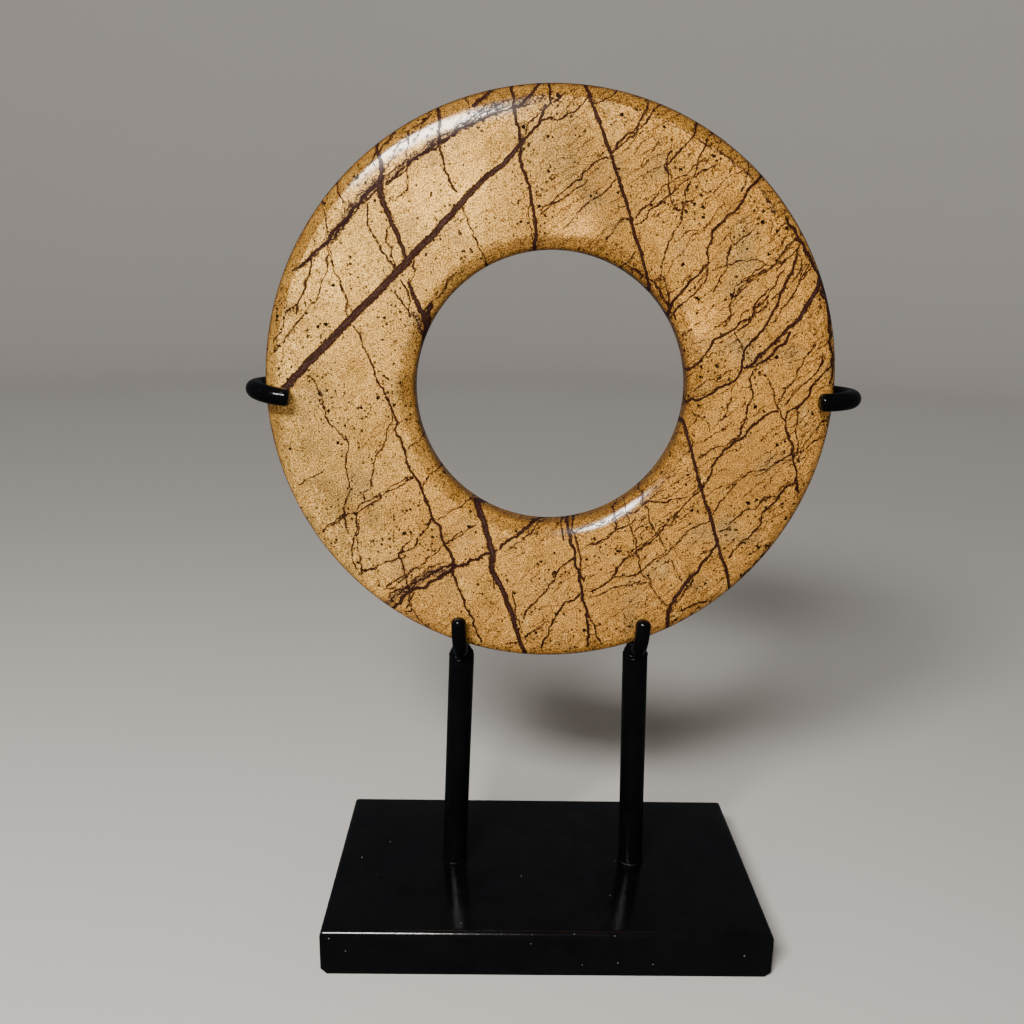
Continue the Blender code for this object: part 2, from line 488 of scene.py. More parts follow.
def show_piece(name: str, mesh: bpy.types.Mesh, nodes: tuple[str, ...] = ()) -> None:
    """Put a finished mesh in the scene and tie it to the frame.

    Args:
        name: name of the piece.
        mesh: its mesh, already in place.
        nodes: solids that the piece stands for.
    """
    piece = bpy.data.objects.new(name, mesh)
    bpy.context.scene.collection.objects.link(piece)
    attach(piece, BODY)
    if nodes:
        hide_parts(*nodes)
    LOG.info("%s: %d faces", name, len(mesh.polygons))


@dataclass(frozen=True)
class Vein:
    """One vein on the front face.

    Attributes:
        start_mm: width at the first point.
        end_mm: width at the last point.
        points: picture points that it runs through.
        kind: solid line or bundle of strands.
        wander: sideways wander of each stretch, as a share of its length.
    """

    start_mm: float
    end_mm: float
    points: tuple[Pixel, ...]
    kind: VeinKind = VeinKind.SOLID
    wander: float = 0.09


# Strong veins and the branches that run from them, in picture points
STRONG_VEINS = (
    Vein(3.5, 3.4, ((272, 402), (286, 387), (300, 372), (320, 351), (340, 330), (360, 309), (380, 290),
         (397, 272)), wander=0.02),
    Vein(3.4, 2.7, ((397, 272), (410, 258), (430, 239), (450, 216), (461, 203), (477, 186)), wander=0.03),
    Vein(2.7, 2.2, ((477, 186), (493, 172), (507, 160), (519, 146), (525, 138)), wander=0.03),
    Vein(1.3, 1.0, ((524, 140), (534, 128), (543, 114), (550, 103), (551, 88))),
    Vein(0.7, 0.5, ((522, 139), (527, 126), (537, 117), (546, 105))),
    Vein(1.4, 2.2, ((375, 142), (378, 153), (381, 163), (382, 172), (380, 182))),
    Vein(2.6, 1.8, ((380, 182), (380, 193), (384, 205), (391, 221), (399, 241), (406, 262))),
    Vein(1.7, 1.3, ((381, 182), (373, 188), (365, 196), (356, 206), (348, 217), (340, 226), (330, 235))),
    Vein(0.9, 0.7, ((379, 187), (362, 203), (351, 217), (342, 225), (336, 233), (330, 245))),
    Vein(4.4, 4.4, ((384, 176), (371, 189), (358, 204), (344, 221), (333, 235)), VeinKind.FRAYED),
    Vein(1.5, 1.0, ((330, 235), (327, 243), (320, 248), (311, 255), (305, 262), (292, 270))),
    Vein(3.2, 1.6, ((335, 232), (326, 241), (316, 253), (304, 262), (291, 271)), VeinKind.FRAYED),
    Vein(0.7, 1.2, ((530, 104), (512, 108), (503, 111), (493, 114), (485, 118), (475, 123), (466, 126),
         (456, 133))),
    Vein(1.2, 0.8, ((456, 133), (446, 140), (439, 144), (430, 150), (421, 155), (413, 160), (401, 170),
         (385, 185))),
    Vein(4.0, 5.0, ((545, 96), (520, 101), (505, 104), (490, 109), (476, 116),
         (462, 125)), VeinKind.FRAYED),
    Vein(4.0, 3.0, ((464, 123), (446, 135), (430, 145), (412, 157), (397, 169),
         (386, 182)), VeinKind.FRAYED),
    Vein(1.3, 1.5, ((512, 90), (513, 103), (517, 124), (520, 141), (520, 156), (525, 174), (530, 193),
         (533, 207))),
    Vein(1.4, 1.8, ((533, 207), (536, 222), (536, 236), (535, 251)), wander=0.05),
    Vein(0.5, 0.5, ((530, 196), (528, 212), (530, 226), (533, 240))),
    Vein(1.1, 0.8, ((440, 146), (441, 153), (444, 170), (449, 180), (457, 193))),
    Vein(0.55, 0.6, ((463, 206), (468, 223), (477, 242), (482, 252), (488, 266))),
    Vein(1.4, 1.5, ((588, 88), (596, 113), (605, 138), (612, 158), (621, 186), (630, 215)), wander=0.02),
    Vein(1.5, 1.3, ((630, 215), (637, 242), (644, 264), (651, 291)), wander=0.02),
    Vein(1.3, 1.6, ((680, 410), (688, 436), (695, 465), (703, 495), (712, 522)), wander=0.02),
    Vein(1.7, 1.4, ((712, 522), (718, 545), (724, 564), (731, 590)), wander=0.02),
    Vein(2.9, 2.8, ((473, 494), (481, 516), (488, 537), (493, 556), (492, 570)), wander=0.03),
    Vein(2.7, 2.0, ((492, 570), (499, 583), (507, 603), (515, 626), (524, 653)), wander=0.03),
    Vein(0.7, 0.5, ((488, 556), (490, 572), (494, 590))),
    Vein(0.8, 0.7, ((513, 591), (516, 606), (518, 620), (521, 634))),
    Vein(1.6, 1.3, ((556, 516), (548, 517), (540, 520), (531, 526), (517, 537), (500, 550))),
    Vein(0.5, 0.5, ((546, 522), (536, 528), (524, 538), (508, 549))),
    Vein(1.5, 1.7, ((497, 550), (477, 560), (455, 567), (437, 578))),
    Vein(1.5, 1.7, ((454, 567), (444, 575), (430, 582), (417, 588), (407, 593), (401, 599), (395, 608))),
    Vein(1.2, 0.8, ((453, 564), (442, 567), (430, 575), (417, 582), (407, 586), (397, 590), (390, 595),
         (388, 600))),
    Vein(0.5, 0.5, ((448, 562), (436, 565), (424, 573), (411, 581))),
    Vein(0.9, 0.8, ((414, 592), (409, 603), (406, 610))),
    Vein(4.6, 4.0, ((455, 564), (437, 573), (414, 585), (399, 594), (389, 604)), VeinKind.FRAYED),
    Vein(1.6, 1.4, ((565, 517), (568, 530), (570, 543), (575, 564), (581, 585), (585, 605))),
    Vein(0.7, 0.6, ((560, 517), (562, 528), (563, 540))),
    Vein(1.4, 1.1, ((585, 605), (588, 625), (589, 648)), wander=0.05),
    Vein(0.9, 0.8, ((572, 528), (576, 540), (581, 560), (584, 582))),
    Vein(0.9, 0.7, ((587, 611), (595, 626), (602, 647))),
    Vein(0.8, 1.1, ((362, 344), (371, 363), (381, 387), (392, 410), (398, 423), (403, 446))),
    Vein(1.1, 1.5, ((403, 446), (413, 474), (424, 495), (432, 518), (442, 540), (453, 567))),
    Vein(1.1, 0.9, ((454, 570), (457, 585), (465, 607), (473, 626), (482, 645))),
    Vein(1.4, 0.9, ((762, 177), (751, 187), (740, 205), (724, 221), (713, 231), (710, 244), (708, 264))),
    Vein(0.9, 1.5, ((708, 264), (695, 278), (681, 293), (673, 303), (670, 317))),
    Vein(0.7, 0.8, ((707, 264), (707, 278), (693, 295), (683, 303), (672, 320))),
    Vein(2.6, 1.8, ((826, 275), (819, 288), (814, 296), (807, 305), (802, 315), (795, 323), (788, 328),
         (781, 336))),
    Vein(1.8, 1.2, ((781, 336), (774, 343), (767, 350), (760, 355), (752, 364), (744, 368))),
    Vein(1.4, 0.9, ((791, 332), (786, 341), (778, 347), (773, 354), (766, 361), (756, 367))),
    Vein(1.5, 1.2, ((798, 254), (793, 270), (789, 277), (785, 287), (779, 299), (774, 310), (766, 325),
         (758, 336))),
    Vein(1.2, 1.0, ((758, 336), (750, 345), (744, 352), (742, 365), (738, 378))),
    Vein(1.1, 1.0, ((739, 376), (735, 381), (717, 389), (699, 401), (681, 411))),
    Vein(1.0, 0.8, ((753, 371), (753, 394), (747, 407), (745, 422), (739, 437))),
    Vein(1.2, 0.9, ((684, 373), (699, 364), (707, 352), (713, 341), (728, 333), (752, 319), (754, 307),
         (769, 289))),
    Vein(1.1, 1.1, ((835, 365), (822, 376), (811, 388), (803, 402), (796, 408), (785, 420))),
    Vein(1.0, 1.3, ((779, 412), (763, 418), (753, 425), (745, 436), (734, 441), (724, 449), (718, 458))),
    Vein(1.2, 1.0, ((718, 458), (712, 467), (708, 480), (700, 491))),
    Vein(0.7, 0.7, ((824, 353), (823, 363), (811, 379), (800, 387), (790, 398), (780, 407))),
    Vein(0.9, 0.6, ((700, 491), (689, 501), (675, 515), (660, 528), (652, 538), (636, 548), (625, 559))),
    Vein(1.0, 0.8, ((625, 559), (617, 571), (607, 583), (590, 592))),
    Vein(0.6, 1.1, ((770, 380), (775, 400), (781, 413), (786, 424), (789, 440), (793, 458), (796, 479),
         (799, 493))),
    Vein(1.2, 0.7, ((797, 478), (783, 491), (773, 503), (762, 514), (758, 528), (744, 540), (728, 558))),
    Vein(1.2, 1.9, ((716, 545), (706, 560), (700, 567), (690, 578), (681, 590), (677, 595), (671, 607))),
    Vein(2.0, 1.8, ((671, 605), (668, 615), (669, 629)), wander=0.04),
    Vein(0.8, 0.6, ((693, 579), (685, 590), (676, 603))),
    Vein(0.9, 0.8, ((762, 562), (745, 590), (742, 575)), wander=0.2),
)

# Dark stains and lace along the edges of the stone, with a dark band along the right rim that is partly a
# stain and partly painted shade
EDGE_STAINS_AND_RIM_SHADE = (
    # Partly a stain and partly painted shade: the dark band along the right rim, on the side of its round
    # turned from the light.
    Vein(1.2, 2.6, ((799, 234), (807, 246), (814, 260), (821, 273), (827, 287), (831, 302)), wander=0.15),
    Vein(2.6, 1.0, ((831, 302), (833, 318), (834, 334), (834, 350), (833, 364)), wander=0.15),
    Vein(1.8, 1.4, ((700, 141), (710, 146), (724, 154), (738, 166), (748, 173),
         (757, 181)), VeinKind.FRAYED),
    Vein(1.4, 2.6, ((757, 181), (765, 192), (772, 203), (776, 213)), VeinKind.FRAYED),
    Vein(1.2, 1.0, ((655, 117), (664, 120), (679, 127), (692, 134)), VeinKind.FRAYED),
    Vein(3.0, 3.4, ((412, 312), (418, 322), (422, 334), (424, 347)), VeinKind.FRAYED),
    Vein(1.6, 3.0, ((408, 282), (412, 292), (416, 300), (420, 311), (424, 319), (427, 330))),
    Vein(2.2, 1.2, ((426, 325), (424, 335), (422, 347))),
    Vein(1.8, 1.6, ((472, 105), (477, 101), (483, 97), (488, 92))),
    Vein(1.4, 1.2, ((518, 107), (527, 98), (533, 91), (537, 86))),
    Vein(1.7, 1.1, ((437, 106), (439, 118), (439, 131), (440, 146))),
    Vein(0.6, 0.5, ((487, 116), (489, 109), (494, 105), (500, 103), (509, 99))),
    Vein(0.6, 0.5, ((466, 124), (471, 118), (477, 113), (483, 107), (489, 104))),
    Vein(0.5, 0.5, ((467, 99), (469, 105), (470, 112), (471, 118))),
    Vein(0.8, 0.8, ((678, 613), (690, 608), (709, 602))),
    Vein(0.5, 0.5, ((323, 407), (329, 424), (338, 431), (345, 440))),
    Vein(0.5, 0.6, ((322, 533), (332, 526), (343, 517), (362, 503), (380, 493), (397, 484), (413, 477))),
    Vein(0.5, 0.5, ((383, 590), (395, 581), (407, 573), (430, 556), (453, 540), (473, 525))),
    Vein(0.5, 0.5, ((800, 240), (787, 250), (770, 260), (753, 273), (737, 293))),
    Vein(0.5, 0.5, ((817, 263), (807, 273), (797, 290), (783, 307), (770, 323))),
    Vein(0.5, 0.5, ((753, 230), (740, 240), (727, 257), (720, 277), (713, 293))),
)

# Finer veins
FINE_VEINS = (
    Vein(0.8, 0.8, ((436, 144), (428, 149), (418, 156), (411, 161), (406, 170), (397, 176), (386, 184))),
    Vein(0.6, 0.5, ((426, 115), (421, 125), (419, 134), (413, 143))),
    Vein(0.6, 0.5, ((404, 147), (397, 153), (387, 165))),
    Vein(0.5, 0.5, ((407, 159), (397, 166), (387, 176))),
    Vein(0.9, 0.8, ((395, 290), (405, 307), (411, 316))),
    Vein(0.5, 0.5, ((424, 313), (432, 301), (438, 297), (444, 289))),
    Vein(0.8, 0.7, ((779, 260), (773, 267), (760, 273), (746, 278), (740, 282))),
    Vein(0.8, 0.7, ((785, 269), (774, 287), (766, 298), (755, 309), (753, 318), (744, 325), (737, 330))),
    Vein(0.7, 0.6, ((809, 263), (803, 271), (799, 281))),
    Vein(0.4, 0.4, ((732, 397), (728, 411), (721, 421))),
    Vein(1.0, 0.8, ((614, 502), (615, 507), (615, 513))),
    Vein(0.6, 0.5, ((638, 488), (642, 503), (649, 519), (657, 534), (665, 548))),
    Vein(0.5, 0.5, ((626, 512), (629, 524), (633, 534), (637, 548), (640, 560))),
    Vein(0.8, 0.8, ((622, 560), (637, 550), (654, 539), (664, 526), (680, 516))),
    Vein(0.4, 0.4, ((634, 533), (647, 518))),
    Vein(0.5, 0.5, ((671, 560), (674, 569), (678, 575), (682, 581))),
    Vein(0.9, 0.9, ((325, 243), (310, 258), (310, 272), (305, 287), (298, 301), (296, 315))),
    Vein(0.5, 0.5, ((297, 303), (285, 313), (281, 332), (273, 354))),
    Vein(0.5, 0.4, ((329, 243), (328, 266), (321, 284), (317, 300), (299, 321), (287, 336), (275, 352))),
    Vein(0.6, 0.8, ((329, 246), (332, 261), (340, 280), (347, 300), (350, 320))),
    Vein(0.6, 0.7, ((353, 326), (362, 344), (364, 350))),
    Vein(0.5, 0.4, ((321, 203), (325, 221), (328, 238))),
    Vein(0.4, 0.3, ((335, 184), (343, 201), (344, 214))),
    Vein(0.7, 0.9, ((367, 203), (367, 223), (375, 238), (385, 254), (393, 265), (397, 272))),
    Vein(0.7, 0.7, ((388, 227), (386, 240), (391, 256), (399, 271))),
    Vein(0.7, 0.6, ((400, 279), (408, 293), (410, 303), (411, 318))),
    Vein(0.5, 0.5, ((413, 253), (415, 272), (410, 282))),
    Vein(0.5, 0.4, ((408, 135), (408, 158), (407, 174), (407, 190), (397, 197))),
    Vein(0.5, 0.5, ((396, 123), (389, 137), (374, 153), (366, 166))),
    Vein(0.6, 0.6, ((420, 122), (407, 138), (394, 152), (386, 168))),
    Vein(0.7, 0.9, ((540, 121), (556, 121), (570, 113), (585, 101), (592, 95))),
    Vein(0.5, 0.6, ((540, 111), (546, 104), (560, 97), (567, 92))),
    Vein(0.9, 0.5, ((609, 158), (595, 162), (583, 172), (573, 182), (556, 198), (540, 214))),
    Vein(0.5, 0.4, ((618, 176), (601, 195), (589, 201), (577, 213), (562, 228))),
    Vein(0.4, 0.3, ((588, 178), (570, 194), (554, 203), (542, 207))),
    Vein(0.4, 0.4, ((626, 217), (616, 226), (607, 238))),
    Vein(0.7, 0.6, ((636, 252), (630, 260), (622, 268))),
    Vein(1.0, 0.8, ((611, 154), (617, 142), (628, 133), (642, 117), (649, 103))),
    Vein(0.7, 0.6, ((613, 152), (628, 139), (642, 127), (658, 106))),
    Vein(0.6, 0.5, ((587, 101), (597, 104), (609, 97), (616, 91))),
    Vein(0.9, 0.7, ((697, 124), (693, 138), (683, 148), (673, 158), (665, 168), (669, 183), (670, 195))),
    Vein(0.5, 0.4, ((670, 195), (673, 204), (678, 211), (686, 211))),
    Vein(0.4, 0.4, ((672, 141), (667, 158), (665, 168))),
    Vein(0.6, 0.5, ((635, 219), (654, 199), (666, 184), (691, 171), (706, 158))),
    Vein(0.8, 0.4, ((635, 224), (646, 219), (654, 207), (667, 197), (683, 182), (700, 172), (717, 164))),
    Vein(0.7, 0.6, ((712, 134), (707, 144), (699, 158), (691, 180), (685, 203), (681, 221))),
    Vein(0.6, 0.6, ((681, 221), (671, 240), (664, 254), (661, 276), (666, 289), (670, 300))),
    Vein(0.4, 0.4, ((640, 272), (655, 281), (661, 290))),
    Vein(0.6, 0.4, ((751, 168), (747, 182), (741, 192))),
    Vein(0.8, 0.6, ((803, 235), (785, 250), (775, 264), (760, 274), (744, 281), (734, 287))),
    Vein(0.6, 0.5, ((734, 287), (732, 299), (730, 317), (717, 328))),
    Vein(0.6, 0.5, ((803, 240), (797, 252), (803, 262), (797, 275), (790, 283))),
    Vein(0.5, 0.4, ((806, 250), (812, 262), (806, 272), (798, 283))),
    Vein(0.4, 0.4, ((801, 247), (784, 262), (770, 268), (753, 277), (742, 290), (730, 300))),
    Vein(0.4, 0.4, ((789, 287), (775, 297), (759, 312), (745, 322))),
    Vein(0.5, 0.4, ((775, 266), (757, 259), (735, 262), (712, 270))),
    Vein(0.4, 0.4, ((744, 354), (737, 340), (735, 331))),
    Vein(0.6, 0.5, ((817, 344), (805, 358), (797, 375), (785, 390), (778, 410))),
    Vein(0.7, 0.6, ((826, 438), (809, 447), (793, 452), (777, 462), (756, 471), (736, 483))),
    Vein(0.5, 0.5, ((736, 483), (728, 493), (716, 510), (709, 520))),
    Vein(0.5, 0.4, ((829, 422), (812, 436), (800, 450), (797, 463))),
    Vein(0.5, 0.4, ((798, 410), (795, 430), (798, 446), (793, 456))),
    Vein(0.8, 0.6, ((777, 497), (756, 509), (734, 520), (717, 535))),
    Vein(0.8, 0.5, ((710, 521), (695, 527), (681, 540), (668, 553), (650, 563), (628, 577), (600, 588))),
    Vein(0.5, 0.4, ((744, 438), (725, 446), (707, 453), (697, 459))),
    Vein(0.5, 0.4, ((705, 484), (688, 497), (664, 503), (643, 504))),
    Vein(0.6, 0.5, ((640, 560), (645, 577), (656, 595), (668, 607))),
    Vein(0.6, 0.4, ((579, 550), (600, 541), (622, 528), (636, 517))),
    Vein(0.4, 0.4, ((589, 598), (607, 592), (622, 586), (648, 582))),
    Vein(0.4, 0.4, ((577, 531), (600, 526), (622, 513), (640, 509))),
    Vein(0.8, 0.8, ((574, 558), (561, 567), (552, 582), (540, 597), (532, 605), (524, 620))),
    Vein(1.1, 0.9, ((580, 594), (562, 607), (553, 621), (548, 636), (541, 650))),
    Vein(0.5, 0.4, ((548, 620), (538, 629), (524, 638), (505, 645))),
    Vein(0.9, 0.7, ((399, 553), (403, 566), (407, 581), (409, 597), (413, 611), (421, 624))),
    Vein(0.8, 0.6, ((432, 518), (420, 535), (409, 550), (399, 554), (403, 546), (412, 538))),
    Vein(0.7, 0.6, ((346, 436), (346, 462), (349, 483), (345, 503), (346, 523), (349, 534))),
    Vein(0.6, 0.6, ((345, 513), (332, 523), (321, 535))),
    Vein(0.5, 0.6, ((392, 411), (387, 430), (385, 442), (375, 456), (373, 473), (370, 490), (362, 493),
         (365, 503))),
    Vein(0.7, 0.8, ((413, 477), (388, 491), (375, 501), (356, 514), (357, 530), (351, 550), (357, 571))),
    Vein(0.5, 0.5, ((359, 520), (358, 545), (360, 560), (362, 578))),
    Vein(0.7, 0.6, ((421, 488), (428, 477), (442, 466))),
    Vein(0.5, 0.5, ((437, 520), (452, 510), (469, 501))),
    Vein(0.6, 0.5, ((445, 544), (464, 531), (478, 522))),
    Vein(0.4, 0.4, ((407, 449), (415, 444), (423, 437))),
    Vein(0.4, 0.3, ((309, 375), (319, 392), (325, 408))),
    Vein(0.4, 0.3, ((296, 487), (310, 478), (325, 470))),
    Vein(0.4, 0.3, ((405, 558), (385, 562), (370, 569), (357, 577))),
    Vein(0.7, 0.6, ((408, 600), (411, 613), (404, 613))),
    Vein(0.4, 0.4, ((425, 566), (404, 578), (386, 590))),
)


@dataclass(frozen=True)
class CloudPatch:
    """A soft patch where the stone is paler, darker or grey-green; the wide pale one at the upper left is
    partly painted sheen.

    Attributes:
        middle: picture point of its middle.
        reach_mm: distance at which it has faded out.
        paler: share by which it is paler, or darker below 0.
        mossy: share of grey-green.
    """

    middle: Pixel
    reach_mm: float
    paler: float
    mossy: float = 0.0


CLOUD_AND_SHEEN_PATCHES = (
    # Partly paler stone and partly painted sheen: the wide pale patch at the upper left, where the key
    # light's sheen lies.
    CloudPatch((450, 182), 32, 0.55),
    CloudPatch((515, 205), 22, -0.10),
    CloudPatch((400, 200), 20, 0.25),
    CloudPatch((575, 222), 14, 0.60),
    CloudPatch((348, 282), 24, 0.40),
    CloudPatch((408, 385), 11, -0.60),
    CloudPatch((560, 150), 26, -0.08, 0.45),
    CloudPatch((605, 195), 26, -0.24),
    CloudPatch((660, 150), 26, -0.15),
    CloudPatch((275, 430), 24, -0.22),
    CloudPatch((315, 450), 34, -0.22, 0.18),
    CloudPatch((345, 520), 34, -0.25, 0.10),
    CloudPatch((430, 600), 26, -0.15),
    CloudPatch((690, 322), 18, 0.62),
    CloudPatch((750, 485), 30, -0.18),
    CloudPatch((662, 568), 4, 0.45),
    CloudPatch((671, 578), 2.4, 0.45),
)


@dataclass
class VeinMap:
    """Carries the vein routes through the stone and writes them onto the ring's mesh.

    Each family of veins becomes one vector attribute, in mm: the distance to the nearest vein's
    middle, signed by side, half of that vein's width, and the distance from its edge.

    Attributes:
        camera: the photograph's camera.
        ring_middle: X and Z of the ring's axis in metres.
        ring_radius: outer radius in metres.
        hole_radius: hole's radius in metres.
        face_y: Y of the front face in metres.
        lean_from: depth behind the front face where the sheets start to lean, in metres.
        lean_most: largest sideways lean of a sheet for each unit of depth.
        lean_wave_mm: length over which the lean swings to and fro.
        reach_mm: distance from a vein's edge at which its family forgets it.
        room_mm: least room between the edges of two veins in a family.
        thinnest_mm: least width of a vein.
        stretch_mm: longest straight stretch of a route.
        edge_mm: how near to an edge of the stone a route counts as ending there.
        run_out_mm: how far such a route runs on.
        far_mm: distance written where no vein is near.
        taper: how fast a vein narrows past its ends, in mm for each mm.
        seed: seed of the wander.
    """

    camera: PhotoCamera
    ring_middle: tuple[float, float]
    ring_radius: float
    hole_radius: float
    face_y: float
    lean_from: float = 6 * MM
    lean_most: float = 0.55
    lean_wave_mm: float = 150.0
    reach_mm: float = 1.9
    room_mm: float = 3.3
    thinnest_mm: float = 0.6
    stretch_mm: float = 1.7
    edge_mm: float = 4.0
    run_out_mm: float = 9.0
    far_mm: float = 9.0
    taper: float = 1.5
    seed: int = 11
    families: list[str] = field(default_factory=list)

    def on_face(self, route: Vein, rng: np.random.Generator) -> np.ndarray:
        """Carry a route onto the front face and roughen it.

        Args:
            route: the route.
            rng: source of the wander.

        Returns:
            Its points in mm from the ring's axis, one row each.
        """
        line = self.run_out(self.in_mm(route.points))
        while True:
            steps = np.diff(line, axis=0)
            lengths = np.hypot(*steps.T)
            if lengths.max() <= self.stretch_mm:
                return line
            rows = [line[0]]
            for i, (step, length) in enumerate(zip(steps, lengths)):
                if length > self.stretch_mm:
                    across = np.array([-step[1], step[0]])
                    rows.append((line[i] + line[i + 1]) / 2 + across * route.wander * rng.normal())
                rows.append(line[i + 1])
            line = np.array(rows)

    def in_mm(self, pixels: list[Pixel] | tuple[Pixel, ...]) -> np.ndarray:
        """Carry picture points onto the front face, in mm from the ring's axis."""
        places = [self.camera.onto_face(pixel, self.face_y) for pixel in pixels]
        return (np.array(places) - self.ring_middle) * PER_MM

    def run_out(self, line: np.ndarray) -> np.ndarray:
        """Lengthen a route at each end that lies near the rim or the hole.

        Args:
            line: points in mm.

        Returns:
            The points with up to two more.
        """
        rows = list(line)
        for end, inward in ((0, 1), (-1, -2)):
            radius = np.hypot(*line[end])
            near_rim = radius > self.ring_radius * PER_MM - self.edge_mm
            near_hole = radius < self.hole_radius * PER_MM + self.edge_mm
            if near_rim or near_hole:
                way = line[end] - line[inward]
                further = line[end] + way / np.hypot(*way) * self.run_out_mm
                rows = [further, *rows] if end == 0 else [*rows, further]
        return np.array(rows)

    def sort_into_families(self, routes: list[Vein], lines: list[np.ndarray]) -> list[list[int]]:
        """Group routes of one kind so that no two in a group come near each other.

        Args:
            routes: the routes.
            lines: their points in mm.

        Returns:
            Numbers of the routes in each family.
        """
        families: list[list[int]] = []
        for i, route in enumerate(routes):
            for family in families:
                if routes[family[0]].kind is not route.kind:
                    continue
                if all(self.apart(routes[i], lines[i], routes[j], lines[j]) for j in family):
                    family.append(i)
                    break
            else:
                families.append([i])
        return families

    def apart(self, one: Vein, one_line: np.ndarray, other: Vein, other_line: np.ndarray) -> bool:
        """Whether two routes leave enough room for the ring's faces between their edges."""
        width = max(one.start_mm, one.end_mm) + max(other.start_mm, other.end_mm)
        room = width / 2 + self.room_mm
        gaps = one_line[:, None, :] - other_line[None, :, :]
        return bool(np.hypot(gaps[..., 0], gaps[..., 1]).min() > room)

    def write(self, mesh: bpy.types.Mesh) -> None:
        """Write every family onto the ring's mesh.

        Args:
            mesh: the ring's mesh, in place.
        """
        rng = np.random.default_rng(self.seed)
        routes = list(STRONG_VEINS + EDGE_STAINS_AND_RIM_SHADE + FINE_VEINS)
        lines = [self.on_face(route, rng) for route in routes]
        flat = np.empty(len(mesh.vertices) * 3, dtype=np.float32)
        mesh.vertices.foreach_get("co", flat)
        spots = flat.reshape(-1, 3).astype(float)
        depth = np.maximum(spots[:, 1] - self.face_y - self.lean_from, 0.0) * PER_MM
        across = (spots[:, [0, 2]] - self.ring_middle) * PER_MM
        carried = across + depth[:, None] * self.lean(across)
        for number, family in enumerate(self.sort_into_families(routes, lines)):
            values = np.tile((self.far_mm, -self.far_mm, self.far_mm), (len(spots), 1))
            best = np.full(len(spots), np.inf)
            for i in family:
                self.measure(routes[i], lines[i], carried, values, best)
            name = routes[family[0]].kind.value + "_veins_" + str(number)
            self.write_attribute(mesh, name, values)
            self.families.append(name)
        self.write_patches(mesh, across)
        LOG.info("stone_ring: %d vein routes in %d families", len(routes), len(self.families))

    def write_attribute(self, mesh: bpy.types.Mesh, name: str, values: np.ndarray) -> None:
        """Write three numbers for each point of a mesh as a vector attribute."""
        layer = mesh.attributes.new(name, "FLOAT_VECTOR", "POINT")
        layer.data.foreach_set("vector", values.astype(np.float32).ravel())

    def lean(self, across: np.ndarray) -> np.ndarray:
        """Lean of the sheets, which changes slowly over the stone so that joined veins stay joined.

        Args:
            across: X and Z of the spots from the ring's axis in mm.

        Returns:
            Sideways and upward lean of each spot.
        """
        turn = across * (math.tau / self.lean_wave_mm)
        sideways = np.sin(turn[:, 1] + 0.6) + 0.5 * np.sin(1.7 * turn[:, 0] + 2.1)
        upward = np.cos(turn[:, 0] - 0.9) + 0.5 * np.sin(1.4 * turn[:, 1] + 4.0)
        return np.stack([sideways, upward], axis=1) * (self.lean_most / 1.5)

    def write_patches(self, mesh: bpy.types.Mesh, across: np.ndarray) -> None:
        """Write the soft patches onto the ring's mesh.

        Args:
            mesh: the ring's mesh.
            across: X and Z of its points from the ring's axis in mm.
        """
        values = np.zeros((len(across), 3))
        for patch in CLOUD_AND_SHEEN_PATCHES:
            place = self.in_mm([patch.middle])[0]
            share = np.clip(1 - np.hypot(*(across - place).T) / patch.reach_mm, 0.0, 1.0)
            share = share * share * (3 - 2 * share)
            values[:, 0] += share * patch.paler
            values[:, 1] += share * patch.mossy
        self.write_attribute(mesh, PATCHES, values)

    def measure(
        self, route: Vein, line: np.ndarray, spots: np.ndarray, values: np.ndarray, best: np.ndarray
    ) -> None:
        """Measure the spots near one route.

        Args:
            route: the route.
            line: its points in mm.
            spots: places on the stone, carried along the sheet onto the front face, in mm.
            values: distance, half width and distance from the edge of each spot, changed in place.
            best: smallest distance so far of each spot, changed in place.
        """
        reach = max(route.start_mm, route.end_mm) / 2 + self.reach_mm
        inside = np.all((spots > line.min(axis=0) - reach) & (spots < line.max(axis=0) + reach), axis=1)
        chosen = np.flatnonzero(inside)
        here = spots[chosen]
        steps = np.diff(line, axis=0)
        lengths = np.hypot(*steps.T)
        starts = np.concatenate([[0.0], np.cumsum(lengths)])
        for a, step, length, start in zip(line[:-1], steps, lengths, starts):
            way = step / length
            offset = here - a
            along = offset @ way
            side = offset[:, 1] * way[0] - offset[:, 0] * way[1]
            held = np.clip(along, 0.0, length)
            distance = np.hypot(along - held, side)
            nearer = (distance < best[chosen]) & (distance < reach)
            if not nearer.any():
                continue
            share = (start + held[nearer]) / starts[-1]
            half = np.maximum(route.start_mm + (route.end_mm - route.start_mm) * share, self.thinnest_mm) / 2
            past = np.where(start + along[nearer] < 0, -along[nearer], 0.0)
            past += np.where(start + along[nearer] > starts[-1], along[nearer] - length, 0.0)
            rows = chosen[nearer]
            best[rows] = distance[nearer]
            values[rows, 0] = np.copysign(distance[nearer], side[nearer])
            values[rows, 1] = half - self.taper * past
            values[rows, 2] = distance[nearer] - half


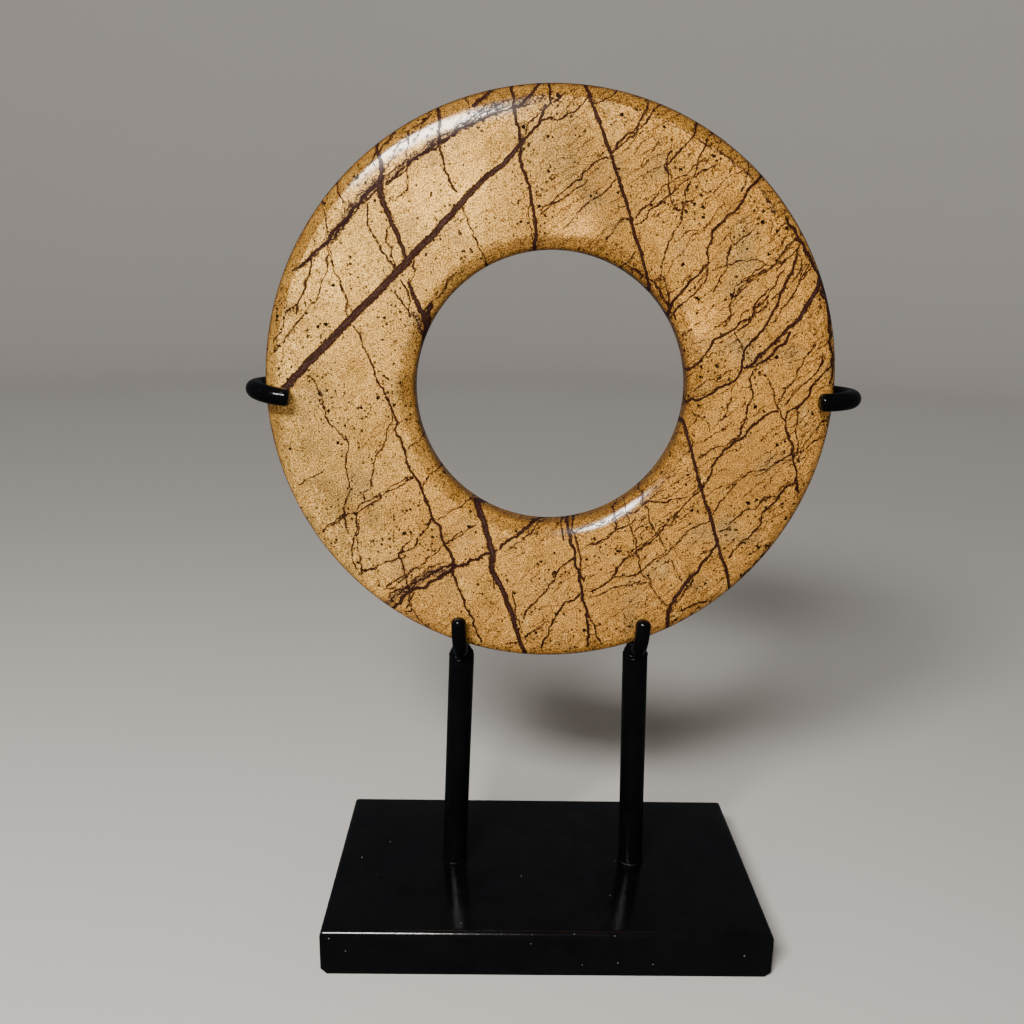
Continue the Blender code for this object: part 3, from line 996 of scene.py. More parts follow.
@dataclass(frozen=True)
class CrackSet:
    """Hair-fine cracks that run one way, each in a lane of its own.

    Attributes:
        climb: angle by which they climb to the right, in degrees.
        spacing: width of a lane in mm.
        least: noise value above which a lane shows its crack.
        shift: keeps the noise of two sets apart.
        fade: noise range over which a crack appears.
        edge: distance from a crack's middle where it ends, in mm.
        core: distance up to which it is full, in mm.
        dip: how far the lanes' way and the way across them lean into the stone.
    """

    climb: float
    spacing: float
    least: float
    shift: float
    fade: float = 0.06
    edge: float = 0.36
    core: float = 0.16
    dip: tuple[float, float] = (0.3, 0.4)

    def lay(self, t: ShaderTree, place: NodeSocket) -> NodeSocket:
        """Strength of the cracks at a place in mm."""
        turn = math.radians(self.climb)
        along = t.dot(place, (math.cos(turn), self.dip[0], math.sin(turn)))
        row = t.over(t.dot(place, (-math.sin(turn), self.dip[1], math.cos(turn))), self.spacing)
        number = t.math("FLOOR", row)
        away = t.math("ABSOLUTE", t.minus(t.minus(row, number), 0.5))
        line = t.remap(t.times(away, self.spacing), self.edge, self.core)
        lane = {0: t.times(along, 0.045), 1: t.times(number, 7.3), 2: self.shift}
        cloud = t.noise(t.add("ShaderNodeCombineXYZ", lane).outputs[0], scale=1.0, detail=3.0, roughness=0.6)
        return t.times(line, t.remap(cloud, self.least, self.least + self.fade))


@dataclass(frozen=True)
class Dots:
    """Round dots of uneven size, scattered about.

    Attributes:
        spacing: distance between their middles in mm.
        radius: of the largest, in mm.
        strength: of a full dot.
        shift: where the pattern is read, in mm along each axis.
        bare: share of the middles that have no dot.
        outside: how far outside its edge a dot begins, in mm.
        inside: how far inside its edge it is full, in mm.
        chance: which of a middle's three random numbers sets its size.
    """

    spacing: float
    radius: float
    strength: float = 1.0
    shift: float = 0.0
    bare: float = 0.25
    outside: float = 0.10
    inside: float = 0.10
    chance: int = 0

    def lay(self, t: ShaderTree, place: NodeSocket, growth: object = 1.0) -> NodeSocket:
        """Strength of the dots at a place in mm, with a factor on their size."""
        moved = t.vector("ADD", place, (self.shift,) * 3)
        cell = t.add("ShaderNodeTexVoronoi", {"Vector": moved, "Scale": 1.0 / self.spacing}).outputs
        chance = t.add("ShaderNodeSeparateColor", {0: cell["Color"]}).outputs[self.chance]
        size = t.times(t.remap(chance, self.bare, 1.0, 0.0, self.radius / self.spacing), growth)
        depth = t.minus(size, cell["Distance"])
        return t.remap(depth, -self.outside / self.spacing, self.inside / self.spacing, 0.0, self.strength)


class StoneTree(ShaderTree):
    """Nodes of the veined stone, for one finish on one ring."""

    def __init__(self, look: "VeinedStone", veins: VeinMap) -> None:
        """Start the material at the place in mm from the ring's middle.

        Args:
            look: the finish.
            veins: the vein map that was written onto the mesh.
        """
        super().__init__("veined_stone")
        self.look = look
        self.veins = veins
        where = self.add("ShaderNodeTexCoord").outputs["Object"]
        middle = (veins.ring_middle[0], 0.0, veins.ring_middle[1])
        self.spot = self.scaled(self.vector("SUBTRACT", where, middle), PER_MM)

    def cloud(self, scale: float, detail: float, roughness: float, *shift: float) -> NodeSocket:
        """Noise at this place, or at a place shifted by X, Y and Z in mm."""
        place = self.vector("ADD", self.spot, shift) if shift else self.spot
        return self.noise(place, scale, detail, roughness)

    def plain_stone(self) -> NodeSocket:
        """Colour of the plain stone: paler to the left, partly its own tone and partly painted light, golden
        to the right, ochre at its edges and painted shade where they turn away.
        """
        look = self.look
        right, _, up = self.split(self.spot)
        broad = self.cloud(0.020, 2.0, 0.5)
        fine = self.cloud(0.10, 3.0, 0.6, 60.0, 8.0, 19.0)
        even = self.plus(self.times(broad, 0.5), self.times(fine, 0.5))
        # Partly the stone's own tone and partly painted light: paler towards the left and a little towards
        # the top, the side the light falls from.
        slope = self.minus(self.times(up, 0.0014), self.times(right, 0.0040))
        tone = self.plus(self.times(even, 1.3), slope)
        colour = self.mix(self.remap(tone, 0.28, 0.95), look.gold, look.tan)
        colour = self.mix(self.remap(tone, 0.72, 1.25), colour, look.pale)
        dark = self.remap(self.cloud(0.05, 3.0, 0.6, 3.0, 44.0, 70.0), 0.52, 0.68, 0.0, 0.45)
        colour = self.mix(dark, colour, look.ochre)
        moss = self.remap(self.cloud(0.05, 3.0, 0.55, 31.0, 7.0, 53.0), 0.54, 0.70, 0.0, 0.55)
        colour = self.mix(moss, colour, look.moss)
        chalk = self.remap(self.cloud(0.13, 2.0, 0.5, 5.0, 71.0, 24.0), 0.62, 0.74, 0.0, 0.5)
        colour = self.mix(chalk, colour, look.pale)
        paler, mossy, _ = self.attribute(PATCHES)
        uneven = self.remap(fine, 0.35, 0.65, 0.6, 1.4)
        colour = self.mix(self.times(mossy, uneven), colour, look.moss)
        colour = self.scaled(colour, self.plus(self.times(paler, uneven), 1.0))
        return self.stained(colour, fine)

    def stained(self, colour: NodeSocket, cloud: NodeSocket) -> NodeSocket:
        """Stain the rim and the hole ochre, most along the top, with a brown line at the rim's crease, and
        paint dark brown shade where the rim and the hole's wall turn away from the face.

        Args:
            colour: colour of the plain stone.
            cloud: noise that makes the stains and the painted edge shade uneven.

        Returns:
            Socket of the colour with its stains and painted edge shade.
        """
        look = self.look
        outer = self.veins.ring_radius * PER_MM
        inner = self.veins.hole_radius * PER_MM
        flat = self.vector("MULTIPLY", self.spot, (1.0, 0.0, 1.0))
        radius = self.add("ShaderNodeVectorMath", {0: flat}, operation="LENGTH").outputs["Value"]
        radius = self.plus(radius, self.swing(cloud, 0.5, 2.0))
        top = self.remap(self.dot(self.vector("NORMALIZE", flat), look.top), 0.0, 0.6, 0.15, 1.0)
        band = self.times(self.remap(radius, outer - 6.5, outer - 5.7, 0.0, 0.85), top)
        colour = self.mix(band, colour, look.ochre)
        from_crease = self.math("ABSOLUTE", self.minus(radius, outer - 6.0))
        crease = self.times(self.remap(from_crease, 0.35, 0.1, 0.0, 0.6), self.times(top, cloud))
        colour = self.mix(crease, colour, look.rust)
        band = self.remap(radius, inner + 7.8, inner + 4.2, 0.0, 0.66, soft=True)
        colour = self.mix(band, colour, look.ochre)
        # Painted shade: dark brown on the rim's outer side and on the hole's wall, where they turn away from
        # the face.
        lip = self.remap(radius, outer - 2.2, outer - 0.4, 0.0, 0.8)
        wall = self.remap(radius, inner + 1.6, inner + 0.2, 0.0, 0.5)
        return self.mix(self.most(lip, wall), colour, look.rust)

    def hairlines(self) -> NodeSocket:
        """Strength of hair-fine broken cracks, most of them climbing to the right."""
        bent = self.bent(self.spot, 14.0, scale=0.05, detail=5.0, roughness=0.62, middle=0.5)
        rightward = self.remap(self.split(self.spot)[0], -60.0, 50.0, 0.40, 1.0)
        found = self.most(*(cracks.lay(self, bent) for cracks in self.look.cracks))
        broken = self.remap(self.cloud(0.55, 2.0, 0.7), 0.36, 0.52, 0.25, 1.0)
        return self.times(self.times(found, broken), rightward)

    def dark_specks(self) -> NodeSocket:
        """Strength of small dark specks of three sizes, in loose swarms."""
        swarm = self.remap(self.cloud(0.07, 2.0, 0.5, 13.0, 90.0, 41.0), 0.35, 0.65, 0.55, 1.15)
        placed = self.bent(self.spot, 1.7, scale=1.3)
        return self.most(*(dots.lay(self, placed, swarm) for dots in self.look.specks))

    def nearest_vein(self, kind: VeinKind, shiver: NodeSocket) -> tuple[NodeSocket, NodeSocket]:
        """Find the vein that a place lies deepest in.

        Args:
            kind: which veins to look at.
            shiver: sideways shift of the veins in mm.

        Returns:
            Depth inside the vein's edge and signed distance from its middle, in mm.
        """
        depth = None
        side = None
        for name in self.veins.families:
            if not name.startswith(kind.value):
                continue
            across, half, past = self.attribute(name)
            inside = self.minus(half, self.math("ABSOLUTE", self.plus(across, shiver)))
            sure = self.times(self.minus(1.15, past), 5.0)
            inside = self.math("MINIMUM", inside, sure)
            if depth is None:
                depth, side = inside, across
                continue
            deeper = self.math("GREATER_THAN", inside, depth)
            side = self.add("ShaderNodeMix", {0: deeper, 2: side, 3: across}, data_type="FLOAT").outputs[0]
            depth = self.most(inside, depth)
        return depth, side

    def strands(self, side: NodeSocket, per_mm: float) -> NodeSocket:
        """Noise in long fibres at a signed distance from a vein's middle, so many to the mm."""
        inputs = {"Vector": self.scaled(self.spot, 0.20), "W": self.times(side, per_mm), "Scale": 1.0}
        inputs |= {"Detail": 2.0, "Roughness": 0.6}
        return self.add("ShaderNodeTexNoise", inputs, noise_dimensions="4D").outputs[0]

    def solid_veins(self) -> tuple[NodeSocket, NodeSocket]:
        """Strength of the solid veins, and of the mauve flecks inside the wide ones."""
        shiver = self.swing(self.cloud(0.75, 3.0, 0.7), 0.5, 0.9)
        depth, side = self.nearest_vein(VeinKind.SOLID, shiver)
        swelling = self.cloud(0.6, 3.0, 0.75, 9.0, 3.0, 77.0)
        swollen = self.plus(depth, self.swing(swelling, 0.52, 1.3))
        strand = self.strands(side, per_mm=2.4)
        loose = self.remap(self.minus(strand, 0.5), 0.02, 0.10, 0.0, 0.5)
        mask = self.remap(self.plus(swollen, loose), -0.06, 0.14, 0.0, 0.98)
        speckle = self.remap(self.cloud(1.7, 2.0, 0.6), 0.42, 0.58)
        fleck = self.times(self.remap(strand, 0.44, 0.56), speckle)
        return mask, self.times(fleck, self.remap(depth, 0.4, 1.0, 0.0, 0.8))

    def frayed_veins(self) -> tuple[NodeSocket, NodeSocket]:
        """Strength of the frayed veins' strands and lace, and of the stain between them."""
        shiver = self.swing(self.cloud(0.35, 3.0, 0.6), 0.5, 2.0)
        depth, side = self.nearest_vein(VeinKind.FRAYED, shiver)
        level = self.remap(depth, 0.0, 2.0, 0.58, 0.49)
        strand = self.strands(self.plus(side, shiver), per_mm=1.5)
        strand = self.remap(self.minus(strand, level), -0.01, 0.02)
        net = {"Vector": self.bent(self.spot, 2.6, scale=0.5, detail=3.0), "Scale": 0.55}
        edge = self.add("ShaderNodeTexVoronoi", net, feature="DISTANCE_TO_EDGE").outputs[0]
        lace = self.remap(edge, 0.11, 0.05)
        strength = self.times(self.most(strand, lace), self.remap(depth, -0.2, 0.7, 0.0, 0.97))
        return strength, self.remap(depth, 0.0, 1.6, 0.0, 0.5)


@dataclass(frozen=True)
class VeinedStone:
    """Polished honey-tan stone with maroon veins, hairlines, specks and clouds.

    Attributes:
        pale: colour of the palest clouds.
        tan: colour of the left side.
        gold: colour of the right side.
        ochre: colour of the stained rim, the hole's edge and the dark clouds.
        moss: grey-green patches.
        thread: colour of the hairlines.
        vein: colour of the veins.
        vein_grey: flecks inside the wide veins.
        smoke: stain between the strands of frayed veins.
        speck: colour of the dark specks.
        rust: brown of the line along the rim's crease, and painted shade where the rim and the hole's wall
            turn away from the face.
        grain_dark: factor on the colour in the grain's dark spots.
        grain_light: factor on the colour in its light spots.
        grain_depth: depth of the grain in metres.
        swell_depth: depth of the polished face's slow swell in metres.
        polish: roughness where the polish is best and where it is dullest.
        vein_rough: how much rougher veins and specks are.
        shine: strength of the stone's reflections, as the shader's specular level.
        vein_shine: the same for veins and specks.
        top: direction in which the rim's ochre is strongest.
        cracks: sets of hair-fine cracks.
        specks: sizes of the dark specks.
    """

    pale: Colour = (0.84, 0.485, 0.125)
    tan: Colour = (0.71, 0.36, 0.080)
    gold: Colour = (0.54, 0.258, 0.052)
    ochre: Colour = (0.25, 0.115, 0.017)
    moss: Colour = (0.34, 0.22, 0.085)
    thread: Colour = (0.055, 0.017, 0.006)
    vein: Colour = (0.024, 0.0070, 0.0055)
    vein_grey: Colour = (0.085, 0.043, 0.043)
    smoke: Colour = (0.12, 0.09, 0.075)
    speck: Colour = (0.012, 0.006, 0.004)
    # This brown also paints shade where the rim and the hole's wall turn away from the face.
    rust: Colour = (0.10, 0.038, 0.006)
    grain_dark: Colour = (0.39, 0.32, 0.18)
    grain_light: Colour = (1.45, 1.50, 1.62)
    grain_depth: float = 0.10 * MM
    swell_depth: float = 0.8 * MM
    polish: tuple[float, float] = (0.11, 0.20)
    vein_rough: float = 0.10
    shine: float = 0.55
    vein_shine: float = 0.12
    top: Triple = (-0.40, 0.0, 0.92)
    cracks: tuple[CrackSet, ...] = (
        CrackSet(35, 3.4, 0.475, 0.0),
        CrackSet(-66, 8.0, 0.57, 37.0),
        CrackSet(52, 6.0, 0.52, 71.0),
    )
    specks: tuple[Dots, ...] = (
        Dots(1.3, 0.50, 0.9, 5.0),
        Dots(1.9, 0.74, 0.95, 0.0),
        Dots(3.6, 0.98, 1.0, 17.0),
    )

    def build(self, veins: VeinMap) -> bpy.types.Material:
        """Lay out the material.

        Args:
            veins: the vein map that was written onto the mesh.

        Returns:
            The material.
        """
        t = StoneTree(self, veins)
        grain = t.cloud(1.7, 1.0, 0.7)
        mottle = t.cloud(0.30, 4.0, 0.7)
        shade = t.mix(t.remap(grain, 0.41, 0.59), self.grain_dark, self.grain_light)
        body = t.mix(1.0, t.plain_stone(), shade, "MULTIPLY")
        body = t.scaled(body, t.remap(mottle, 0.36, 0.64, 0.78, 1.20))
        body = t.mix(t.hairlines(), body, self.thread)
        specks = t.dark_specks()
        frayed, smoky = t.frayed_veins()
        solid, flecks = t.solid_veins()
        body = t.mix(smoky, body, self.smoke)
        body = t.mix(specks, body, self.speck)
        body = t.mix(frayed, body, self.vein)
        colour = t.mix(solid, body, t.mix(flecks, self.vein, self.vein_grey))
        dark = t.most(solid, frayed, specks)
        rough = t.plus(t.remap(mottle, 0.3, 0.7, *self.polish), t.times(dark, self.vein_rough))
        shine = t.remap(dark, 0.0, 1.0, self.shine, self.vein_shine)
        relief = t.bump(t.times(grain, 0.35), 0.5, self.grain_depth)
        relief = t.bump(t.cloud(0.045, 1.0, 0.5), 0.5, self.swell_depth, relief)
        return t.surface(colour, rough, shine, relief)


@dataclass(frozen=True)
class BlackEnamel:
    """Deep black enamel over steel, with orange peel, pimples, dust and faint haze.

    Attributes:
        name: name of the material.
        black: colour of the enamel.
        dust: colour of the dust.
        peel_mm: size of the orange peel's dimples.
        peel_depth: their depth in metres.
        swell_depth: depth of the slow swell under them in metres.
        pimple_height: height of the pimples in metres.
        rough: roughness of clean enamel.
        shine: strength of its reflections, as the shader's specular level.
        grains: sparse pale specks of dust.
        pimples: small round lumps where grit was caught under the enamel.
    """

    name: str = "black_enamel"
    black: Colour = (0.0014, 0.0014, 0.0018)
    dust: Colour = (0.30, 0.28, 0.26)
    peel_mm: float = 1.5
    peel_depth: float = 0.14 * MM
    swell_depth: float = 0.5 * MM
    pimple_height: float = 0.16 * MM
    rough: float = 0.12
    shine: float = 0.50
    grains: Dots = Dots(7.0, 0.49, 0.80, bare=0.6, outside=0.0, inside=0.14, chance=1)
    pimples: Dots = Dots(3.2, 0.704, bare=0.55, outside=0.0, inside=0.384)

    def build(self) -> bpy.types.Material:
        """Lay out the material and return it."""
        t = ShaderTree(self.name)
        spot = t.scaled(t.add("ShaderNodeTexCoord").outputs["Object"], PER_MM)
        mottle = t.noise(spot, scale=0.08, detail=3.0, roughness=0.6)
        colour = t.mix(t.remap(mottle, 0.3, 0.7), self.black, tuple(2.0 * c for c in self.black))
        haze = t.noise(t.vector("ADD", spot, (5.0, 40.0, 9.0)), scale=0.03, detail=4.0, roughness=0.65)
        haze = t.remap(haze, 0.35, 0.7)
        colour = t.mix(t.times(haze, 0.004), colour, self.dust)
        dust = self.grains.lay(t, spot)
        colour = t.mix(dust, colour, self.dust)
        rough = t.plus(t.times(haze, 0.05), self.rough)
        rough = t.plus(rough, t.times(dust, 0.4))
        relief = t.bump(t.noise(spot, scale=1 / self.peel_mm), strength=0.30, distance=self.peel_depth)
        relief = t.bump(t.noise(spot, scale=0.06), 0.4, self.swell_depth, relief)
        relief = t.bump(self.pimples.lay(t, spot), 0.9, self.pimple_height, relief)
        return t.surface(colour, rough, self.shine, relief)


@dataclass(frozen=True)
class PaleFloor:
    """Plain pale matte paper for the studio's floor.

    Attributes:
        colour: its colour.
        rough: its roughness.
        shine: strength of its reflections, as the shader's specular level.
    """

    colour: Colour = (0.72, 0.69, 0.65)
    rough: float = 0.75
    shine: float = 0.3

    def build(self) -> bpy.types.Material:
        """Lay out the material and return it."""
        return ShaderTree("pale_floor").surface(self.colour, self.rough, self.shine)


@dataclass
class StoneRing:
    """The polished ring, turned by a geometry tree from its cross-section.

    Attributes:
        diameter: outer diameter in metres.
        hole: hole's diameter in metres.
        thickness: from face to face in metres.
        face_curve: radius of the wide curve on which a face falls away near the rim, in metres.
        face_fall: slope at which the full round of the rim takes over, in radians.
        hole_rounding: how far the hole's edges reach into the faces in metres.
        hole_bends: radius in metres of each bend of a hole's edge and the slope where it ends, in radians.
        cells_round: faces around the ring.
        front_cell: size of the faces on the front in metres.
        back_cell: size of the faces on the back in metres.
    """

    diameter: float = 253 * MM
    hole: float = 120 * MM
    thickness: float = 20 * MM
    face_curve: float = 39 * MM
    face_fall: float = math.radians(17)
    hole_rounding: float = 8 * MM
    hole_bends: tuple[tuple[float, float], ...] = (
        (4.0 * MM, math.radians(20)),
        (18 * MM, math.radians(38)),
    )
    cells_round: int = 720
    front_cell: float = 1.0 * MM
    back_cell: float = 1.7 * MM

    def middle(self) -> tuple[float, float]:
        """X and Z of the ring's axis, from its solid's box."""
        low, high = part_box("stone_ring")
        return (low[0] + high[0]) / 2, (low[2] + high[2]) / 2

    def rim_rounding(self) -> float:
        """Radius of the rim's full round, which meets the falling faces without a step."""
        dip = self.face_curve * (1 - math.cos(self.face_fall))
        return (self.thickness / 2 - dip) / math.cos(self.face_fall)

    def section(self) -> list[Vector]:
        """Cross-section as a closed row of points: X out from the axis, Y from front to back.

        Returns:
            The points in metres.
        """
        half = self.thickness / 2
        curve = self.face_curve
        rounding = self.rim_rounding()
        rim = self.diameter / 2 - rounding
        face = rim - (curve - rounding) * math.sin(self.face_fall)
        quarter = math.pi / 2
        turned = quarter - self.face_fall
        bends = (
            (face, curve - half, curve, -quarter, -turned, self.front_cell),
            (rim, 0.0, rounding, -turned, turned, self.front_cell),
            (face, half - curve, curve, turned, quarter, self.back_cell),
            *self.hole_edge(1),
            *self.hole_edge(-1),
        )
        points: list[Vector] = []
        for centre_x, centre_y, radius, start, stop, cell in bends:
            centre = Vector((centre_x, centre_y, 0.0))
            bend = arc(centre, X_AXIS, Y_AXIS, radius, start, stop, cell)
            if points and (bend[0] - points[-1]).length > cell / 2:
                points += self.between(points[-1], bend[0], self.back_cell) + bend
            else:
                points += bend[1:] if points else bend
        return points + self.between(points[-1], points[0], self.front_cell)

    def hole_edge(self, side: int) -> list[tuple[float, ...]]:
        """Bends of one edge of the hole: two from the face and one that meets the wall.

        Args:
            side: 1 for the back edge, from face to wall, or -1 for the front edge, from wall to face.

        Returns:
            Centre X and Y, radius, first and last angle and cell size of each bend.
        """
        x = self.hole / 2 + self.hole_rounding
        y = self.thickness / 2
        slope = 0.0
        bends = []
        last = (x - self.hole / 2 - self.reach(self.hole_bends)) / (1 - math.sin(self.hole_bends[-1][1]))
        for radius, end in (*self.hole_bends, (last, math.pi / 2)):
            centre = (x + radius * math.sin(slope), y - radius * math.cos(slope))
            angles = (math.pi / 2 + slope, math.pi / 2 + end)
            x = centre[0] - radius * math.sin(end)
            y = centre[1] + radius * math.cos(end)
            slope = end
            if side < 0:
                angles = (-angles[1], -angles[0])
            bends.append((centre[0], side * centre[1], radius, *angles, self.front_cell))
        return bends[::side]

    def reach(self, bends: tuple[tuple[float, float], ...]) -> float:
        """How far a row of bends runs along the face, in metres."""
        starts = [0.0] + [end for _, end in bends]
        return sum(radius * (math.sin(end) - math.sin(start)) for (radius, end), start in zip(bends, starts))

    def between(self, start: Vector, stop: Vector, cell: float) -> list[Vector]:
        """Points about a cell apart on a straight stretch, without its ends."""
        count = max(1, round((stop - start).length / cell))
        return stretch(start, stop, count)[1:]

    def tree(self) -> GeometryTree:
        """Tree that sweeps a cross-section round a circle and stands it upright."""
        g = GeometryTree("turned_ring")
        radius = g.size("Sweep radius")
        cells = g.size("Cells round", "Int")
        centre = g.size("Centre", "Vector")
        inputs = {"Curve": g.disc(cells, radius), "Profile Curve": g.guide()}
        swept = g.add("GeometryNodeCurveToMesh", inputs).outputs[0]
        inputs = {"Geometry": swept, "Translation": centre, "Rotation": (math.pi / 2, 0.0, 0.0)}
        g.finish(g.add("GeometryNodeTransform", inputs).outputs[0])
        return g

    def build(self, camera: PhotoCamera, finish: VeinedStone) -> None:
        """Make the ring, write its veins and dress it.

        Args:
            camera: the photograph's camera.
            finish: the stone's finish.
        """
        centre = self.middle()
        sweep = (self.diameter + self.hole) / 4
        outline = [Vector((point.x - sweep, point.y, 0.0)) for point in self.section()]
        sizes = {
            "Sweep radius": sweep,
            "Cells round": self.cells_round,
            "Centre": (centre[0], 0.0, centre[1]),
        }
        mesh = self.tree().make("stone_ring", guide_line("ring_section", outline, closed=True), sizes)
        veins = VeinMap(camera, centre, self.diameter / 2, self.hole / 2, -self.thickness / 2)
        veins.write(mesh)
        mesh.materials.clear()
        mesh.materials.append(finish.build(veins))
        show_piece("polished_stone_ring", mesh, ("stone_ring",))


@dataclass
class RoundRod:
    """A bent round rod or post, swept by a geometry tree along its middle line.

    Attributes:
        diameter: in metres.
        end_rounding: radius of the edge round each end in metres.
        sides: faces around the rod.
        unevenness: how far the surface strays from round in metres.
        end_cells: rows of faces on an end's rounding.
        closest: least distance between points of the middle line in metres.
        sharp: angle above which an edge is shaded sharp, in radians.
    """

    diameter: float
    end_rounding: float = 1.2 * MM
    sides: int = 28
    unevenness: float = 0.05 * MM
    end_cells: int = 6
    closest: float = 0.05 * MM
    sharp: float = math.radians(38)

    def tree(self) -> GeometryTree:
        """Tree that sweeps the rod and rounds the edges of its ends."""
        g = GeometryTree("bent_rod")
        diameter = g.size("Diameter")
        rounding = g.size("End rounding")
        sides = g.size("Sides", "Int")
        unevenness = g.size("Unevenness")
        place = g.add("GeometryNodeSplineParameter").outputs["Length"]
        length = g.add("GeometryNodeSplineLength").outputs["Length"]
        from_end = g.math("MINIMUM", place, g.minus(length, place))
        short = g.math("MAXIMUM", g.minus(1.0, g.over(from_end, rounding)), 0.0)
        height = g.math("SQRT", g.minus(1.0, g.times(short, short)))
        cut = g.over(rounding, g.over(diameter, 2.0))
        narrow = g.minus(1.0, g.times(cut, g.minus(1.0, height)))
        rod = g.tube(g.guide(), narrow, diameter, sides, capped=True)
        wave = g.add("ShaderNodeTexNoise", {"Scale": 110.0, "Detail": 2.0}).outputs[0]
        push = g.swing(wave, 1.0, unevenness)
        offset = g.scaled(g.add("GeometryNodeInputNormal").outputs[0], push)
        g.finish(g.add("GeometryNodeSetPosition", {"Geometry": rod, "Offset": offset}).outputs[0])
        return g

    def sweep(self, name: str, points: list[Vector], material: bpy.types.Material) -> bpy.types.Mesh:
        """Make the rod's mesh.

        Args:
            name: name of the mesh.
            points: middle line from end to end.
            material: its finish.

        Returns:
            The mesh.
        """
        line = points[:1]
        line += [point for last, point in zip(points, points[1:]) if (point - last).length > self.closest]
        for _ in range(2):
            line = self.crowd_end(line)
            line.reverse()
        sizes = {
            "Diameter": self.diameter,
            "End rounding": self.end_rounding,
            "Sides": self.sides,
            "Unevenness": self.unevenness,
            "Material": material,
        }
        mesh = self.tree().make(name, guide_line(name, line), sizes)
        mesh.set_sharp_from_angle(angle=self.sharp)
        return mesh

    def crowd_end(self, line: list[Vector]) -> list[Vector]:
        """Set points closer together where the rod's first end is rounded.

        Args:
            line: middle line from end to end.

        Returns:
            The new middle line.
        """
        way = (line[1] - line[0]).normalized() * self.end_rounding
        turns = [math.pi / 2 * i / self.end_cells for i in range(self.end_cells + 1)]
        beyond = self.end_rounding * 1.05
        rest = [point for point in line[1:] if (point - line[0]).length > beyond]
        return [line[0] + way * (1 - math.cos(turn)) for turn in turns] + rest


@dataclass
class WeldBead:
    """A rippled weld bead, swept by a geometry tree along a closed line.

    Attributes:
        thickness: of the bead in metres.
        ripple: spacing of its ripples in metres.
        seed: seed of its unevenness.
    """

    thickness: float = 1.8 * MM
    ripple: float = 1.5 * MM
    seed: int = 3

    def tree(self) -> GeometryTree:
        """Tree that sweeps a bead of changing thickness."""
        g = GeometryTree("weld_bead")
        thickness = g.size("Thickness")
        ripple = g.size("Ripple")
        seed = g.size("Seed")
        inputs = {"Curve": g.guide(), "Length": 0.3 * MM}
        line = g.add("GeometryNodeResampleCurve", inputs, mode="LENGTH").outputs[0]
        place = g.add("GeometryNodeSplineParameter").outputs["Length"]
        wave = g.math("SINE", g.times(g.over(place, ripple), math.tau))
        inputs = {"W": seed, "Scale": 420.0, "Detail": 1.0}
        uneven = g.add("ShaderNodeTexNoise", inputs, noise_dimensions="4D").outputs[0]
        lump = g.plus(g.times(uneven, 0.7), 0.55)
        share = g.plus(g.times(wave, 0.10), lump)
        g.finish(g.tube(line, share, thickness, sides=10, capped=False))
        return g

    def run(self, name: str, centre: Vector, radius: float, material: bpy.types.Material) -> None:
        """Lay a bead round a level circle and show it.

        Args:
            name: name of the piece.
            centre: centre of the circle.
            radius: its radius in metres.
            material: its finish.
        """
        turns = [math.tau * i / 48 for i in range(48)]
        circle = [centre + Vector((radius * math.cos(a), radius * math.sin(a), 0)) for a in turns]
        sizes = {
            "Thickness": self.thickness,
            "Ripple": self.ripple,
            "Seed": float(self.seed),
            "Material": material,
        }
        mesh = self.tree().make(name, guide_line(name, circle, closed=True), sizes)
        show_piece(name, mesh)


